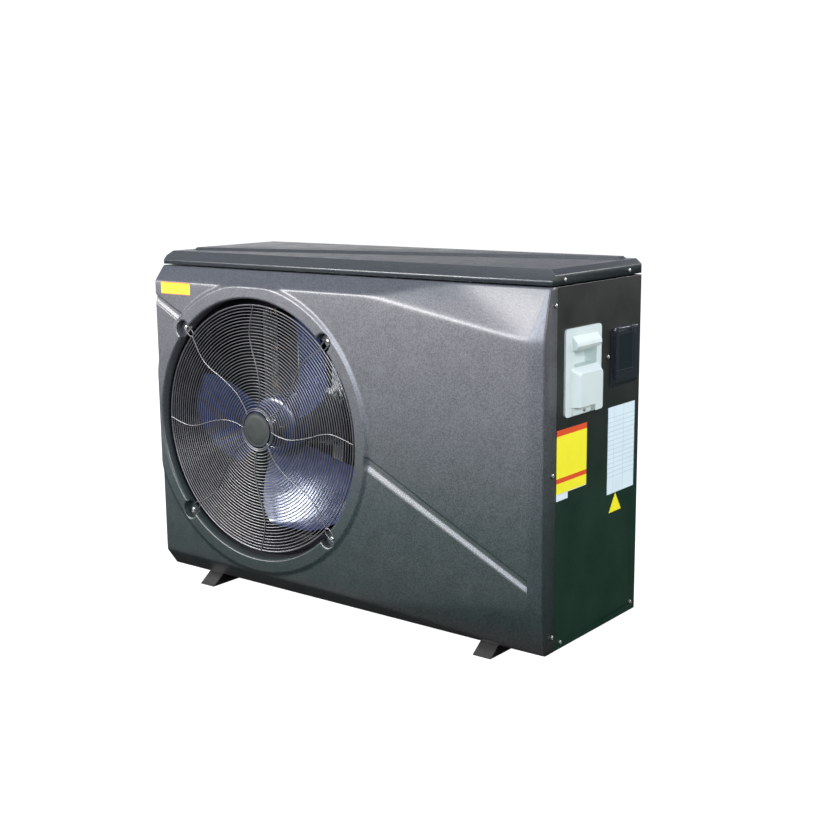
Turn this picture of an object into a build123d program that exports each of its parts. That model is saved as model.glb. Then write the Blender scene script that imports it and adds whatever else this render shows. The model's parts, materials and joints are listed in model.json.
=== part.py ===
"""A side-discharge heat pump unit for a pool, as separate pieces.

Millimetres. X runs along the width, Y from front to back and Z up. The origin is under the
middle of the whole unit. Positions are worked out from the casing's lower front left corner,
which at(x, y, z) turns into the part's own frame.
"""
from build123d import *
from math import cos, radians, sin
import os

os.makedirs("parts", exist_ok=True)

# ---- Driving dimensions ----
case_width = 1000.0
case_depth = 361.0
panel_height = 681.0          # front and side panels
cover_bottom = 684.0          # 3 mm gap above the panels
cover_top = 712.0
plateau_height = 5.0
foot_height = 28.0
sheet = 1.2                   # folded steel sheet
moulding = 3.0                # plastic mouldings
side_projection = 18.0        # wiring cover, past the right side
back_projection = 55.0        # water connections, past the back
collar_proud = 4.0
screw_head = 2.6              # height of the screw heads, on both sides

left = -(case_width + side_projection - screw_head) / 2
front = -(case_depth + back_projection - collar_proud) / 2

# Fan and its opening
fan_x = 287.5
fan_z = 346.6
opening_r = 278.0
collar_r = 306.0
pocket_ring_r = 285.0
pocket_r = 19.0
pocket_depth = 12.5
guard_r = 264.0
guard_wire = 2.5
guard_rings = 34
ring_pitch = 6.6
badge_r = 37.0
fan_r = 247.0
hub_r = 64.0
shaft_r = 6.0

# Front panel
panel_depth = 50.0
flange_front = 8.0            # how far back the side bevel ends
top_crease = 649.0            # lower edge of the sloped top strip
top_setback = 28.0

running = 0.05                # radial clearance of a turning shaft
screw_r = 2.0
screw_hole_r = 2.1
head_r = 4.2


def at(x, y, z):
    """A point given from the casing's lower front left corner."""
    return Vector(left + x, front + y, foot_height + z)


def facing_front(y):
    """A plane that faces forwards, with local x along the width and local y up."""
    return Plane(origin=at(0, y, 0), x_dir=(1, 0, 0), z_dir=(0, -1, 0))


def facing_right(x):
    """A plane that faces right, with local x towards the back and local y up."""
    return Plane(origin=at(x, 0, 0), x_dir=(0, 1, 0), z_dir=(1, 0, 0))


def facing_up(z):
    """A plane that faces up, with local x along the width and local y towards the back."""
    return Plane(origin=at(0, 0, z), x_dir=(1, 0, 0), z_dir=(0, 0, 1))


def block(x, y, z, mode=Mode.ADD):
    """A box between two values on each axis, given from the casing's corner."""
    middle = at(sum(x) / 2, sum(y) / 2, sum(z) / 2)
    with Locations(middle):
        Box(x[1] - x[0], y[1] - y[0], z[1] - z[0], mode=mode)


def rod(start, direction, radius, length, mode=Mode.ADD):
    """A round bar from a point along a direction."""
    with Locations(Plane(origin=at(*start), z_dir=direction)):
        Cylinder(radius, length, align=(Align.CENTER, Align.CENTER, Align.MIN), mode=mode)


def outward_plane(points, inset, outward):
    """The plane through three points, moved in by inset, with its normal on the outer side."""
    a, b, c = (at(*point) for point in points)
    normal = (b - a).cross(c - a).normalized()
    if normal.dot(Vector(*outward)) < 0:
        normal = -normal
    return Plane(origin=a - normal * inset, z_dir=normal)


# ---- Front panel ----
# Each facet of the moulding is a plane through three points.
panel_facets = [
    ((0, 0, top_crease), (900, 0, top_crease), (0, top_setback, 683)),
    ((607, 0, top_crease), (971, 0, 587), (1000, top_setback, 683)),
    ((971, 0, 587), (1000, flange_front, 587), (1000, top_setback, 683)),
    ((971, 0, 587), (971, 0, 89), (1000, flange_front, 89)),
    ((971, 0, 89), (1000, flange_front, 89), (1000, 16, 0)),
    ((590, 0, 28.9), (971, 0, 89), (1000, 16, 0)),
    ((0, 0, 38), (0, 27, 0), (1000, 16, 0)),
]
forwards = (0, -1, 0)
groove_depth = 4.0
groove_right = [(596, 330), (978, 141.8), (978, 118), (596, 298)]
groove_left = [(-1, 621.5), (110, 568.5), (110, 541), (-1, 601.5)]
# Screws through the panel's side flange, as distances back and up.
flange_screws = [(43.5, 648), (38, 339), (41, 30)]

with BuildPart() as panel_space:
    block((moulding, case_width - moulding), (moulding, panel_depth + 1),
          (-1, panel_height - moulding))
    for facet in panel_facets:
        split(bisect_by=outward_plane(facet, moulding, forwards), keep=Keep.BOTTOM)

with BuildPart() as front_panel:
    block((0, case_width), (0, panel_depth), (0, panel_height))
    for facet in panel_facets:
        split(bisect_by=outward_plane(facet, 0, forwards), keep=Keep.BOTTOM)
    add(panel_space.part, mode=Mode.SUBTRACT)
    # The collar round the opening, cut off by the panel's left edge, and the wall behind it.
    with BuildSketch(facing_front(-collar_proud)):
        with Locations((fan_x, fan_z)):
            Circle(collar_r)
        with Locations((case_width / 2, fan_z)):
            Rectangle(case_width, 2 * collar_r, mode=Mode.INTERSECT)
    extrude(amount=-(collar_proud + moulding))
    with BuildSketch(facing_front(0)):
        with Locations((fan_x, fan_z)):
            Circle(opening_r + moulding)
    extrude(amount=-24)
    # A backing rib under each stretch of the diagonal groove.
    for outline in (groove_right, groove_left):
        with BuildSketch(facing_front(moulding - 0.5)):
            Polygon(*outline, align=None)
            offset(amount=moulding)
            with Locations((case_width / 2, fan_z)):
                Rectangle(case_width, 2 * fan_z, mode=Mode.INTERSECT)
        extrude(amount=-(groove_depth + 0.5))
    # Pockets for the guard's four screws.
    with BuildSketch(facing_front(-collar_proud)):
        with Locations((fan_x, fan_z)):
            with PolarLocations(pocket_ring_r, 4, start_angle=45):
                Circle(pocket_r + moulding)
    extrude(amount=-(collar_proud + pocket_depth + moulding))
    with BuildSketch(facing_front(-collar_proud - 1)):
        with Locations((fan_x, fan_z)):
            Circle(opening_r)
    extrude(amount=-60, mode=Mode.SUBTRACT)
    with BuildSketch(facing_front(-collar_proud - 1)):
        with Locations((fan_x, fan_z)):
            with PolarLocations(pocket_ring_r, 4, start_angle=45):
                Circle(pocket_r)
    extrude(amount=-(collar_proud + 1 + pocket_depth), mode=Mode.SUBTRACT)
    with BuildSketch(facing_front(0)):
        with Locations((fan_x, fan_z)):
            with PolarLocations(pocket_ring_r + 4, 4, start_angle=45):
                Circle(screw_hole_r)
    extrude(amount=-30, mode=Mode.SUBTRACT)
    for outline in (groove_right, groove_left):
        with BuildSketch(facing_front(-1)):
            Polygon(*outline, align=None)
            with Locations((fan_x, fan_z)):
                Circle(collar_r, mode=Mode.SUBTRACT)
        extrude(amount=-(groove_depth + 1), mode=Mode.SUBTRACT)
    for y, z in flange_screws:
        rod((-1, y, z), (1, 0, 0), screw_hole_r, case_width + 2, mode=Mode.SUBTRACT)
front_panel.part.label = "front_panel"
export_step(front_panel.part, "parts/front_panel.step")

# ---- Top cover ----
slope_foot = 693.0            # the front lip's upper edge
slope_back = 46.0             # where the front slope meets the flat top
bevel_foot = 702.0
bevel_in = 12.0
cover_facets = [
    (((0, top_setback, slope_foot), (900, top_setback, slope_foot),
      (0, slope_back, cover_top)), (0, -1, 1)),
    (((1000, 30, bevel_foot), (1000, 300, bevel_foot),
      (1000 - bevel_in, 30, cover_top)), (1, 0, 1)),
    (((0, 30, bevel_foot), (0, 300, bevel_foot), (bevel_in, 30, cover_top)), (-1, 0, 1)),
]
plateau = [(30, 92), (962, 312), (974, 322), (974, 346), (30, 346)]
cover_screws_yz = [(73, 692), (310, 692)]

with BuildPart() as cover_space:
    block((sheet, case_width - sheet), (top_setback + sheet, case_depth - sheet),
          (cover_bottom - 1, cover_top - sheet))
    for facet, outward in cover_facets:
        split(bisect_by=outward_plane(facet, sheet, outward), keep=Keep.BOTTOM)
    with BuildSketch(facing_up(cover_top - 5)):
        with BuildLine():
            Polyline(*plateau, close=True)
        make_face()
        offset(amount=-sheet)
    extrude(amount=5 + plateau_height - sheet)

with BuildPart() as top_cover:
    block((0, case_width), (top_setback, case_depth), (cover_bottom, cover_top))
    for facet, outward in cover_facets:
        split(bisect_by=outward_plane(facet, 0, outward), keep=Keep.BOTTOM)
    with BuildSketch(facing_up(cover_top - 1)):
        with BuildLine():
            Polyline(*plateau, close=True)
        make_face()
    extrude(amount=1 + plateau_height)
    add(cover_space.part, mode=Mode.SUBTRACT)
    for y, z in cover_screws_yz:
        rod((-1, y, z), (1, 0, 0), screw_hole_r, case_width + 2, mode=Mode.SUBTRACT)
top_cover.part.label = "top_cover"
export_step(top_cover.part, "parts/top_cover.step")

# ---- Base pan, with its water drain ----
pan_wall = 1.5
pan_lip = 25.0
pan_outline = [(3.4, 34), (996.6, 34), (996.6, 51), (998.7, 51), (998.7, 359.7), (1.3, 359.7),
               (1.3, 51), (3.4, 51)]
drain = (760, 180)
foot_x = (118, 865)           # middle of each rail
foot_bolt_y = (70, 160, 250, 330)
foot_bolt_dx = 27
bolt_r = 3.0
bolt_head_r = 5.8             # across the corners
pan_screws = [(71, 12), (342, 17)]
compressor_x, compressor_y = 720, 205
compressor_feet_r = 82

with BuildPart() as base_pan:
    with BuildSketch(facing_up(0)):
        with BuildLine():
            Polyline(*pan_outline, close=True)
        make_face()
    extrude(amount=pan_lip)
    with BuildSketch(facing_up(pan_wall)):
        with BuildLine():
            Polyline(*pan_outline, close=True)
        make_face()
        offset(amount=-pan_wall)
    extrude(amount=pan_lip, mode=Mode.SUBTRACT)
    rod((drain[0], drain[1], -1), (0, 0, 1), 9.2, 4, mode=Mode.SUBTRACT)
    for x in foot_x:
        for side in (-foot_bolt_dx, foot_bolt_dx):
            for y in foot_bolt_y:
                rod((x + side, y, -1), (0, 0, 1), bolt_r + 0.3, 4, mode=Mode.SUBTRACT)
    for y, z in pan_screws:
        rod((-1, y, z), (1, 0, 0), screw_hole_r, case_width + 2, mode=Mode.SUBTRACT)
    with Locations(Plane(origin=at(compressor_x, compressor_y, -1))):
        with PolarLocations(compressor_feet_r, 3, start_angle=90):
            Cylinder(4.3, 4, align=(Align.CENTER, Align.CENTER, Align.MIN), mode=Mode.SUBTRACT)
base_pan.part.label = "base_pan"
export_step(base_pan.part, "parts/base_pan.step")

with BuildPart() as drain_nipple:
    rod((drain[0], drain[1], pan_wall), (0, 0, 1), 13, 3)
    rod((drain[0], drain[1], -20), (0, 0, 1), 9, 16)
    # A slimmer neck up to the pan, so the hose stops short of it.
    rod((drain[0], drain[1], -4), (0, 0, 1), 8.6, 4 + pan_wall + 1)
    rod((drain[0], drain[1], -21), (0, 0, 1), 6.5, 30, mode=Mode.SUBTRACT)
drain_nipple.part.label = "drain_nipple"
export_step(drain_nipple.part, "parts/drain_nipple.step")

# ---- Feet: folded rails with sloping ends, flanges on top and anchor slots below ----
rail_width = 42.0
rail_wall = 2.0
rail_front = 7.0
rail_back = 356.0
end_run = 38.0                # how far the sloping end reaches back over the rail's height
anchor_y = (62.0, 301.0)
anchor_slot = 24.0
anchor_r = 5.0

for foot_name, x in (("left_foot", foot_x[0]), ("right_foot", foot_x[1])):
    with BuildPart() as foot:
        with BuildSketch(facing_right(x - rail_width / 2)):
            Polygon((rail_front, -foot_height), (rail_back, -foot_height),
                    (rail_back - end_run, 0), (rail_front + end_run, 0), align=None)
        extrude(amount=rail_width)
        inner_start = rail_front + rail_wall * 1.4
        inner_end = rail_back - rail_wall * 1.4
        with BuildSketch(facing_right(x - rail_width / 2 + rail_wall)):
            Polygon((inner_start, -foot_height), (inner_end, -foot_height),
                    (inner_end - end_run, 0), (inner_start + end_run, 0), align=None)
            with Locations(((rail_front + rail_back) / 2, -foot_height)):
                Rectangle(400, 2 * rail_wall, mode=Mode.SUBTRACT)
        extrude(amount=rail_width - 2 * rail_wall, mode=Mode.SUBTRACT)
        for side in (-1, 1):
            near = x + side * rail_width / 2
            far = near + side * 12
            block((min(near, far), max(near, far)), (50, 345), (-rail_wall, 0))
        for side in (-foot_bolt_dx, foot_bolt_dx):
            for y in foot_bolt_y:
                rod((x + side, y, -5), (0, 0, 1), bolt_r + 0.3, 6, mode=Mode.SUBTRACT)
        with BuildSketch(facing_up(-foot_height - 1)):
            with Locations(*[(x, y) for y in anchor_y]):
                SlotOverall(anchor_slot, 2 * anchor_r, rotation=90)
        extrude(amount=rail_wall + 2, mode=Mode.SUBTRACT)
    foot.part.label = foot_name
    export_step(foot.part, f"parts/{foot_name}.step")

with BuildPart() as foot_bolts:
    for x in foot_x:
        for side in (-foot_bolt_dx, foot_bolt_dx):
            for y in foot_bolt_y:
                rod((x + side, y, -12), (0, 0, 1), bolt_r, 12 + pan_wall)
                with BuildSketch(facing_up(pan_wall)):
                    with Locations((x + side, y)):
                        RegularPolygon(bolt_head_r, 6)
                extrude(amount=5)
                with BuildSketch(facing_up(-rail_wall)):
                    with Locations((x + side, y)):
                        RegularPolygon(bolt_head_r, 6)
                extrude(amount=-6)
foot_bolts.part.label = "foot_bolts"
export_step(foot_bolts.part, "parts/foot_bolts.step")

# ---- Side panels ----
panel_start = 50.6
grip_pocket_y = (104, 184)
grip_pocket_z = (530, 559)
extra_screw = (233, 533.5)

with BuildPart() as right_side_panel:
    block((case_width - sheet, case_width), (panel_start, case_depth), (0, panel_height))
    block((975, case_width), (case_depth - sheet, case_depth), (0, panel_height))
    block((980, case_width + 1), (grip_pocket_y[0] - 3, grip_pocket_y[1] + 3),
          (grip_pocket_z[0] - 3, grip_pocket_z[1] + 3), mode=Mode.SUBTRACT)
    block((980, case_width + 1), (118, 168), (462, 512), mode=Mode.SUBTRACT)
    rod((980, 296, 536), (1, 0, 0), 12, 30, mode=Mode.SUBTRACT)
    rod((980, extra_screw[0], extra_screw[1]), (1, 0, 0), screw_hole_r, 30, mode=Mode.SUBTRACT)
    rod((980, 135, 449), (1, 0, 0), screw_hole_r, 30, mode=Mode.SUBTRACT)
    for y, z in pan_screws:
        rod((980, y, z), (1, 0, 0), screw_hole_r, 30, mode=Mode.SUBTRACT)
right_side_panel.part.label = "right_side_panel"
export_step(right_side_panel.part, "parts/right_side_panel.step")

with BuildPart() as left_side_panel:
    block((0, sheet), (panel_start, case_depth), (0, panel_height))
    block((0, 25), (case_depth - sheet, case_depth), (0, panel_height))
    for y, z in pan_screws:
        rod((-10, y, z), (1, 0, 0), screw_hole_r, 30, mode=Mode.SUBTRACT)
left_side_panel.part.label = "left_side_panel"
export_step(left_side_panel.part, "parts/left_side_panel.step")

# ---- Posts in the four corners ----
post_leg = 26.0
post_wall = 1.5
post_z = (pan_wall, 677.0)
# Each post's corner, and which way its legs run.
posts = [(995.0, -1, 35.6, 1), (997.0, -1, 356.6, -1), (3.0, 1, 356.6, -1)]
slim_post_x, slim_post_y = 5.0, 35.6

with BuildPart() as corner_posts:
    for x, dx, y, dy in posts:
        block(sorted((x, x + dx * post_leg)), sorted((y, y + dy * post_wall)), post_z)
        block(sorted((x, x + dx * post_wall)), sorted((y, y + dy * post_leg)), post_z)
    # Beside the fan opening there is room only for a flat strip with a leg at each end.
    block((slim_post_x, slim_post_x + post_wall), (slim_post_y, slim_post_y + post_leg), post_z)
    for low, high in ((post_z[0], 50), (645, post_z[1])):
        block((slim_post_x, slim_post_x + post_leg), (slim_post_y, slim_post_y + post_wall),
              (low, high))
    for y, z in flange_screws + pan_screws:
        rod((-1, y, z), (1, 0, 0), screw_hole_r, case_width + 2, mode=Mode.SUBTRACT)
corner_posts.part.label = "corner_posts"
export_step(corner_posts.part, "parts/corner_posts.step")

# ---- Partition and rear panel ----
partition_x = 601.0
with BuildPart() as partition_plate:
    block((partition_x, partition_x + sheet), (62, 345), (pan_wall, 679))
    block((partition_x, partition_x + 22), (62, 62 + sheet), (pan_wall, 679))
    rod((partition_x - 5, 300, 420), (1, 0, 0), 14, 12, mode=Mode.SUBTRACT)
partition_plate.part.label = "partition_plate"
export_step(partition_plate.part, "parts/partition_plate.step")

port_x = 885.0
port_z = (120.0, 330.0)       # water in and water out
gland = (680, 90)
with BuildPart() as rear_panel:
    block((partition_x + 2, 974.8), (case_depth - sheet, case_depth), (0.2, panel_height))
    block((partition_x + 2, partition_x + 2 + sheet), (346, case_depth), (30, panel_height))
    for z in port_z:
        rod((port_x, 340, z), (0, 1, 0), 28, 40, mode=Mode.SUBTRACT)
    rod((gland[0], 340, gland[1]), (0, 1, 0), 10.2, 40, mode=Mode.SUBTRACT)
    for step in range(6):
        z = 470 + step * 24
        block((660, 900), (350, 370), (z, z + 8), mode=Mode.SUBTRACT)
rear_panel.part.label = "rear_panel"
export_step(rear_panel.part, "parts/rear_panel.step")

with BuildPart() as cable_gland:
    with BuildSketch(facing_front(case_depth)):
        with Locations((gland[0], gland[1])):
            RegularPolygon(15, 6)
    extrude(amount=-8)
    rod((gland[0], case_depth + 8, gland[1]), (0, 1, 0), 12, 16)
    rod((gland[0], 345, gland[1]), (0, 1, 0), 10, 20)
    with BuildSketch(facing_front(case_depth - sheet)):
        with Locations((gland[0], gland[1])):
            RegularPolygon(14, 6)
    extrude(amount=6)
    rod((gland[0], 340, gland[1]), (0, 1, 0), 6, 60, mode=Mode.SUBTRACT)
cable_gland.part.label = "cable_gland"
export_step(cable_gland.part, "parts/cable_gland.step")

# ---- Rear guard: a grid of bars over the evaporator ----
guard_bar = 3.0
guard_span_x = (25.4, 602.6)
guard_span_z = (26.0, 679.0)
with BuildPart() as rear_guard:
    with BuildSketch(facing_front(case_depth - 4)):
        with Locations(((guard_span_x[0] + guard_span_x[1]) / 2,
                        (guard_span_z[0] + guard_span_z[1]) / 2)):
            Rectangle(guard_span_x[1] - guard_span_x[0], guard_span_z[1] - guard_span_z[0])
            with GridLocations(47.8, 24.9, 12, 26):
                Rectangle(47.8 - guard_bar, 24.9 - guard_bar, mode=Mode.SUBTRACT)
    extrude(amount=-4)
rear_guard.part.label = "rear_guard"
export_step(rear_guard.part, "parts/rear_guard.step")

# ---- Fan guard: rings on S-shaped radial bars, a middle plate and four screw tabs ----
guard_y = 10.0
guard_plate_r = 40.0
spoke_bends = [(36, 0), (90, 10), (150, -1), (205, -13), (guard_r, 0)]


def spoke_points(angle):
    """Points along a radial bar, which bends to one side and then to the other."""
    turn = radians(angle)
    return [(fan_x + r * cos(turn) - s * sin(turn), fan_z + r * sin(turn) + s * cos(turn))
            for r, s in spoke_bends]


with BuildPart() as fan_guard:
    with BuildSketch(facing_front(guard_y)):
        with Locations((fan_x, fan_z)):
            for ring in range(guard_rings):
                ring_r = guard_r - ring * ring_pitch
                Circle(ring_r + guard_wire / 2)
                Circle(ring_r - guard_wire / 2, mode=Mode.SUBTRACT)
            Circle(guard_plate_r)
            with PolarLocations(pocket_ring_r - 10, 4, start_angle=45):
                Rectangle(34, 14)
            with PolarLocations(pocket_ring_r + 4, 4, start_angle=45):
                Circle(7)
        for spoke in range(8):
            with BuildLine():
                Spline(*spoke_points(spoke * 45))
            trace(line_width=guard_wire)
        with Locations((fan_x, fan_z)):
            with PolarLocations(pocket_ring_r + 4, 4, start_angle=45):
                Circle(screw_hole_r, mode=Mode.SUBTRACT)
    extrude(amount=-guard_wire)
fan_guard.part.label = "fan_guard"
export_step(fan_guard.part, "parts/fan_guard.step")

with BuildPart() as guard_badge:
    with BuildSketch(facing_front(guard_y)):
        with Locations((fan_x, fan_z)):
            Circle(badge_r)
    extrude(amount=2.5)
    fillet(guard_badge.faces().sort_by(Axis.Y)[0].edges(), radius=1.2)
guard_badge.part.label = "guard_badge"
export_step(guard_badge.part, "parts/guard_badge.step")

with BuildPart() as guard_screws:
    for quarter in range(4):
        turn = radians(45 + 90 * quarter)
        x = fan_x + (pocket_ring_r + 4) * cos(turn)
        z = fan_z + (pocket_ring_r + 4) * sin(turn)
        rod((x, guard_y, z), forwards, head_r, screw_head)
        rod((x, guard_y, z), (0, 1, 0), screw_r, 12)
guard_screws.part.label = "guard_screws"
export_step(guard_screws.part, "parts/guard_screws.step")

# ---- Bell mouth: a flange behind the collar, flaring down to the fan's throat ----
throat_r = 255.0
with BuildPart() as bell_mouth:
    with BuildSketch(Plane(origin=at(fan_x, 0, fan_z), x_dir=(1, 0, 0), z_dir=(0, 0, 1))):
        with BuildLine():
            Polyline((opening_r + 4, 24.2), (opening_r - 3, 24.2), (throat_r + 4, 46),
                     (throat_r, 60), (throat_r, 130), (throat_r + 2, 130), (throat_r + 2, 60.4),
                     (throat_r + 5.8, 47), (opening_r - 2, 26.2), (opening_r + 4, 26.2),
                     close=True)
        make_face()
    revolve(axis=Axis(at(fan_x, 0, fan_z), (0, 1, 0)))
bell_mouth.part.label = "bell_mouth"
export_step(bell_mouth.part, "parts/bell_mouth.step")

# ---- Fan: three wide swept blades on a hub ----
hub_front = 58.0
hub_back = 122.0
hub_middle = (hub_front + hub_back) / 2
blade_thickness = 3.0
# For each section: radius, chord, pitch from the fan's plane and sweep round the hub, degrees.
blade_sections = [(52, 66, 40, 0), (110, 145, 33, 4), (175, 225, 28, 10), (fan_r - 3, 262, 24, 18)]


def blade_plane(turn, radius, pitch, swept):
    """A plane square to the radius, its local x along the blade's chord."""
    angle = radians(turn + swept)
    outwards = Vector(cos(angle), 0, sin(angle))
    round_hub = Vector(-sin(angle), 0, cos(angle))
    chord = round_hub * cos(radians(pitch)) + Vector(0, 1, 0) * sin(radians(pitch))
    middle = at(fan_x, hub_middle, fan_z) + outwards * radius
    return Plane(origin=middle, x_dir=chord, z_dir=outwards)


with BuildPart() as fan_blades:
    for turn in (-72, 48, 168):
        for radius, chord, pitch, swept in blade_sections:
            with BuildSketch(blade_plane(turn, radius, pitch, swept)):
                RectangleRounded(chord, blade_thickness, blade_thickness * 0.45)
        loft()
    # Trim the blade tips to the fan's circle.
    with Locations(Plane(origin=at(fan_x, -60, fan_z), z_dir=(0, 1, 0))):
        Cylinder(fan_r, 300, align=(Align.CENTER, Align.CENTER, Align.MIN), mode=Mode.INTERSECT)
    rod((fan_x, hub_front, fan_z), (0, 1, 0), hub_r, hub_back - hub_front)
    rod((fan_x, hub_front + 20, fan_z), (0, 1, 0), hub_r - 4, hub_back, mode=Mode.SUBTRACT)
    rod((fan_x, hub_front, fan_z), (0, 1, 0), 14, 50)
    rod((fan_x, hub_front - 1, fan_z), (0, 1, 0), shaft_r + 0.02, 80, mode=Mode.SUBTRACT)
fan_blades.part.label = "fan_blades"
export_step(fan_blades.part, "parts/fan_blades.step")

shaft_front = 46.0
motor_front = 138.0
motor_back = 212.0
with BuildPart() as motor_shaft:
    rod((fan_x, shaft_front, fan_z), (0, 1, 0), shaft_r, 190 - shaft_front)
motor_shaft.part.label = "motor_shaft"
export_step(motor_shaft.part, "parts/motor_shaft.step")

with BuildPart() as fan_nut:
    with BuildSketch(facing_front(hub_front)):
        with Locations((fan_x, fan_z)):
            RegularPolygon(11, 6)
            Circle(shaft_r + 0.02, mode=Mode.SUBTRACT)
    extrude(amount=9)
fan_nut.part.label = "fan_nut"
export_step(fan_nut.part, "parts/fan_nut.step")

# ---- Fan motor on its bracket ----
motor_r = 58.0
bracket_y = motor_back
lug_r = 70.0
with BuildPart() as fan_motor:
    rod((fan_x, motor_front, fan_z), (0, 1, 0), motor_r, motor_back - motor_front)
    fillet(fan_motor.edges().filter_by(GeomType.CIRCLE).sort_by(Axis.Y)[0], radius=8)
    with BuildSketch(facing_front(motor_back)):
        with Locations((fan_x, fan_z)):
            with PolarLocations(lug_r - 8, 4, start_angle=45):
                Rectangle(30, 18)
            Circle(motor_r - 4)
    extrude(amount=5)
    rod((fan_x, motor_front - 1, fan_z), (0, 1, 0), shaft_r + running, 60, mode=Mode.SUBTRACT)
    with Locations(facing_front(motor_back)):
        with Locations((fan_x, fan_z, 0)):
            with PolarLocations(lug_r, 4, start_angle=45):
                Cylinder(2.6, 30, mode=Mode.SUBTRACT)
fan_motor.part.label = "fan_motor"
export_step(fan_motor.part, "parts/fan_motor.step")

with BuildPart() as motor_bracket:
    for side in (-1, 1):
        x = fan_x + side * 50
        block((x - 14, x + 14), (bracket_y, bracket_y + 2), (pan_wall, 679))
        block((x + side * 12, x + side * 14) if side > 0 else (x - 14, x - 12),
              (bracket_y, bracket_y + 16), (pan_wall, 679))
    block((fan_x - 64, fan_x + 64), (bracket_y, bracket_y + 2), (fan_z - 64, fan_z + 64))
    with Locations(facing_front(bracket_y)):
        with Locations((fan_x, fan_z, 0)):
            with PolarLocations(lug_r, 4, start_angle=45):
                Cylinder(2.6, 30, mode=Mode.SUBTRACT)
motor_bracket.part.label = "motor_bracket"
export_step(motor_bracket.part, "parts/motor_bracket.step")

with BuildPart() as motor_screws:
    for quarter in range(4):
        turn = radians(45 + 90 * quarter)
        x = fan_x + lug_r * cos(turn)
        z = fan_z + lug_r * sin(turn)
        rod((x, motor_back - 5, z), forwards, 5, 3.5)
        rod((x, motor_back - 5, z), (0, 1, 0), 2.5, 12)
motor_screws.part.label = "motor_screws"
export_step(motor_screws.part, "parts/motor_screws.step")

# ---- Evaporator: upright fins on level tubes with return bends ----
fin_count = 66
fin_y = (318.0, 342.0)
fin_z = (20.0, 660.0)
tube_runs = 14
tube_pitch = 44.0
tube_y = 330.0
tube_x = (60.0, 566.0)
with BuildPart() as evaporator_fins:
    for step in range(fin_count):
        x = 66 + step * 7.5
        block((x, x + 0.6), fin_y, fin_z)
    for step in range(tube_runs):
        z = 54 + step * tube_pitch
        rod((20, tube_y, z), (1, 0, 0), 4.0, 580, mode=Mode.SUBTRACT)
evaporator_fins.part.label = "evaporator_fins"
export_step(evaporator_fins.part, "parts/evaporator_fins.step")

with BuildPart() as evaporator_tubes:
    with BuildSketch(Plane(origin=at(tube_x[0], tube_y, 54), x_dir=(0, 1, 0), z_dir=(-1, 0, 0))):
        Circle(4.0)
    extrude(amount=-(tube_x[1] - tube_x[0]))
    for step in range(1, tube_runs):
        rod((tube_x[0], tube_y, 54 + step * tube_pitch), (1, 0, 0), 4.0, tube_x[1] - tube_x[0])
    for step in range(tube_runs - 1):
        z = 54 + (step + 0.5) * tube_pitch
        at_right = step % 2 == 0
        x = tube_x[1] if at_right else tube_x[0]
        with BuildSketch(Plane(origin=at(x, tube_y, z), x_dir=(0, 0, 1), z_dir=(1, 0, 0))):
            with Locations((tube_pitch / 2, 0)):
                Circle(4.0)
        revolve(axis=Axis(at(x, tube_y, z), (0, 1, 0)), revolution_arc=180 if at_right else -180)
evaporator_tubes.part.label = "evaporator_tubes"
export_step(evaporator_tubes.part, "parts/evaporator_tubes.step")

# ---- Compressor on rubber mounts, with its suction accumulator ----
compressor_r = 56.0
compressor_z = (24.0, 262.0)
with BuildPart() as compressor:
    rod((compressor_x, compressor_y, compressor_z[0]), (0, 0, 1), compressor_r,
        compressor_z[1] - compressor_z[0])
    fillet(compressor.edges().filter_by(GeomType.CIRCLE), radius=20)
    with BuildSketch(facing_up(compressor_z[0])):
        with Locations((compressor_x, compressor_y)):
            Circle(50)
            for quarter in range(3):
                angle = 90 + 120 * quarter
                turn = radians(angle)
                with Locations(Location((compressor_feet_r * 0.6 * cos(turn),
                                         compressor_feet_r * 0.6 * sin(turn)), angle)):
                    SlotOverall(compressor_feet_r * 1.2, 26)
            with PolarLocations(compressor_feet_r, 3, start_angle=90):
                Circle(4.3, mode=Mode.SUBTRACT)
    extrude(amount=4)
    block((compressor_x - 18, compressor_x + 18), (compressor_y - 64, compressor_y - 40),
          (180, 222))
compressor.part.label = "compressor"
export_step(compressor.part, "parts/compressor.step")

with BuildPart() as compressor_mounts:
    with Locations(Plane(origin=at(compressor_x, compressor_y, pan_wall))):
        with PolarLocations(compressor_feet_r, 3, start_angle=90):
            Cylinder(12, compressor_z[0] - pan_wall,
                     align=(Align.CENTER, Align.CENTER, Align.MIN))
            Cylinder(4.3, 60, mode=Mode.SUBTRACT)
compressor_mounts.part.label = "compressor_mounts"
export_step(compressor_mounts.part, "parts/compressor_mounts.step")

with BuildPart() as compressor_nuts:
    with Locations(Plane(origin=at(compressor_x, compressor_y, 0))):
        with PolarLocations(compressor_feet_r, 3, start_angle=90):
            Cylinder(4.0, 42, align=(Align.CENTER, Align.CENTER, Align.MIN))
    with BuildSketch(facing_up(compressor_z[0] + 4)):
        with Locations((compressor_x, compressor_y)):
            with PolarLocations(compressor_feet_r, 3, start_angle=90):
                RegularPolygon(8, 6)
    extrude(amount=7)
compressor_nuts.part.label = "compressor_nuts"
export_step(compressor_nuts.part, "parts/compressor_nuts.step")

accumulator_x, accumulator_y = 640, 150
with BuildPart() as accumulator:
    rod((accumulator_x, accumulator_y, 60), (0, 0, 1), 28, 170)
    fillet(accumulator.edges().filter_by(GeomType.CIRCLE), radius=12)
    block((accumulator_x - 37.8, accumulator_x - 20), (accumulator_y - 12, accumulator_y + 12),
          (120, 124))
accumulator.part.label = "accumulator"
export_step(accumulator.part, "parts/accumulator.step")

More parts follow.
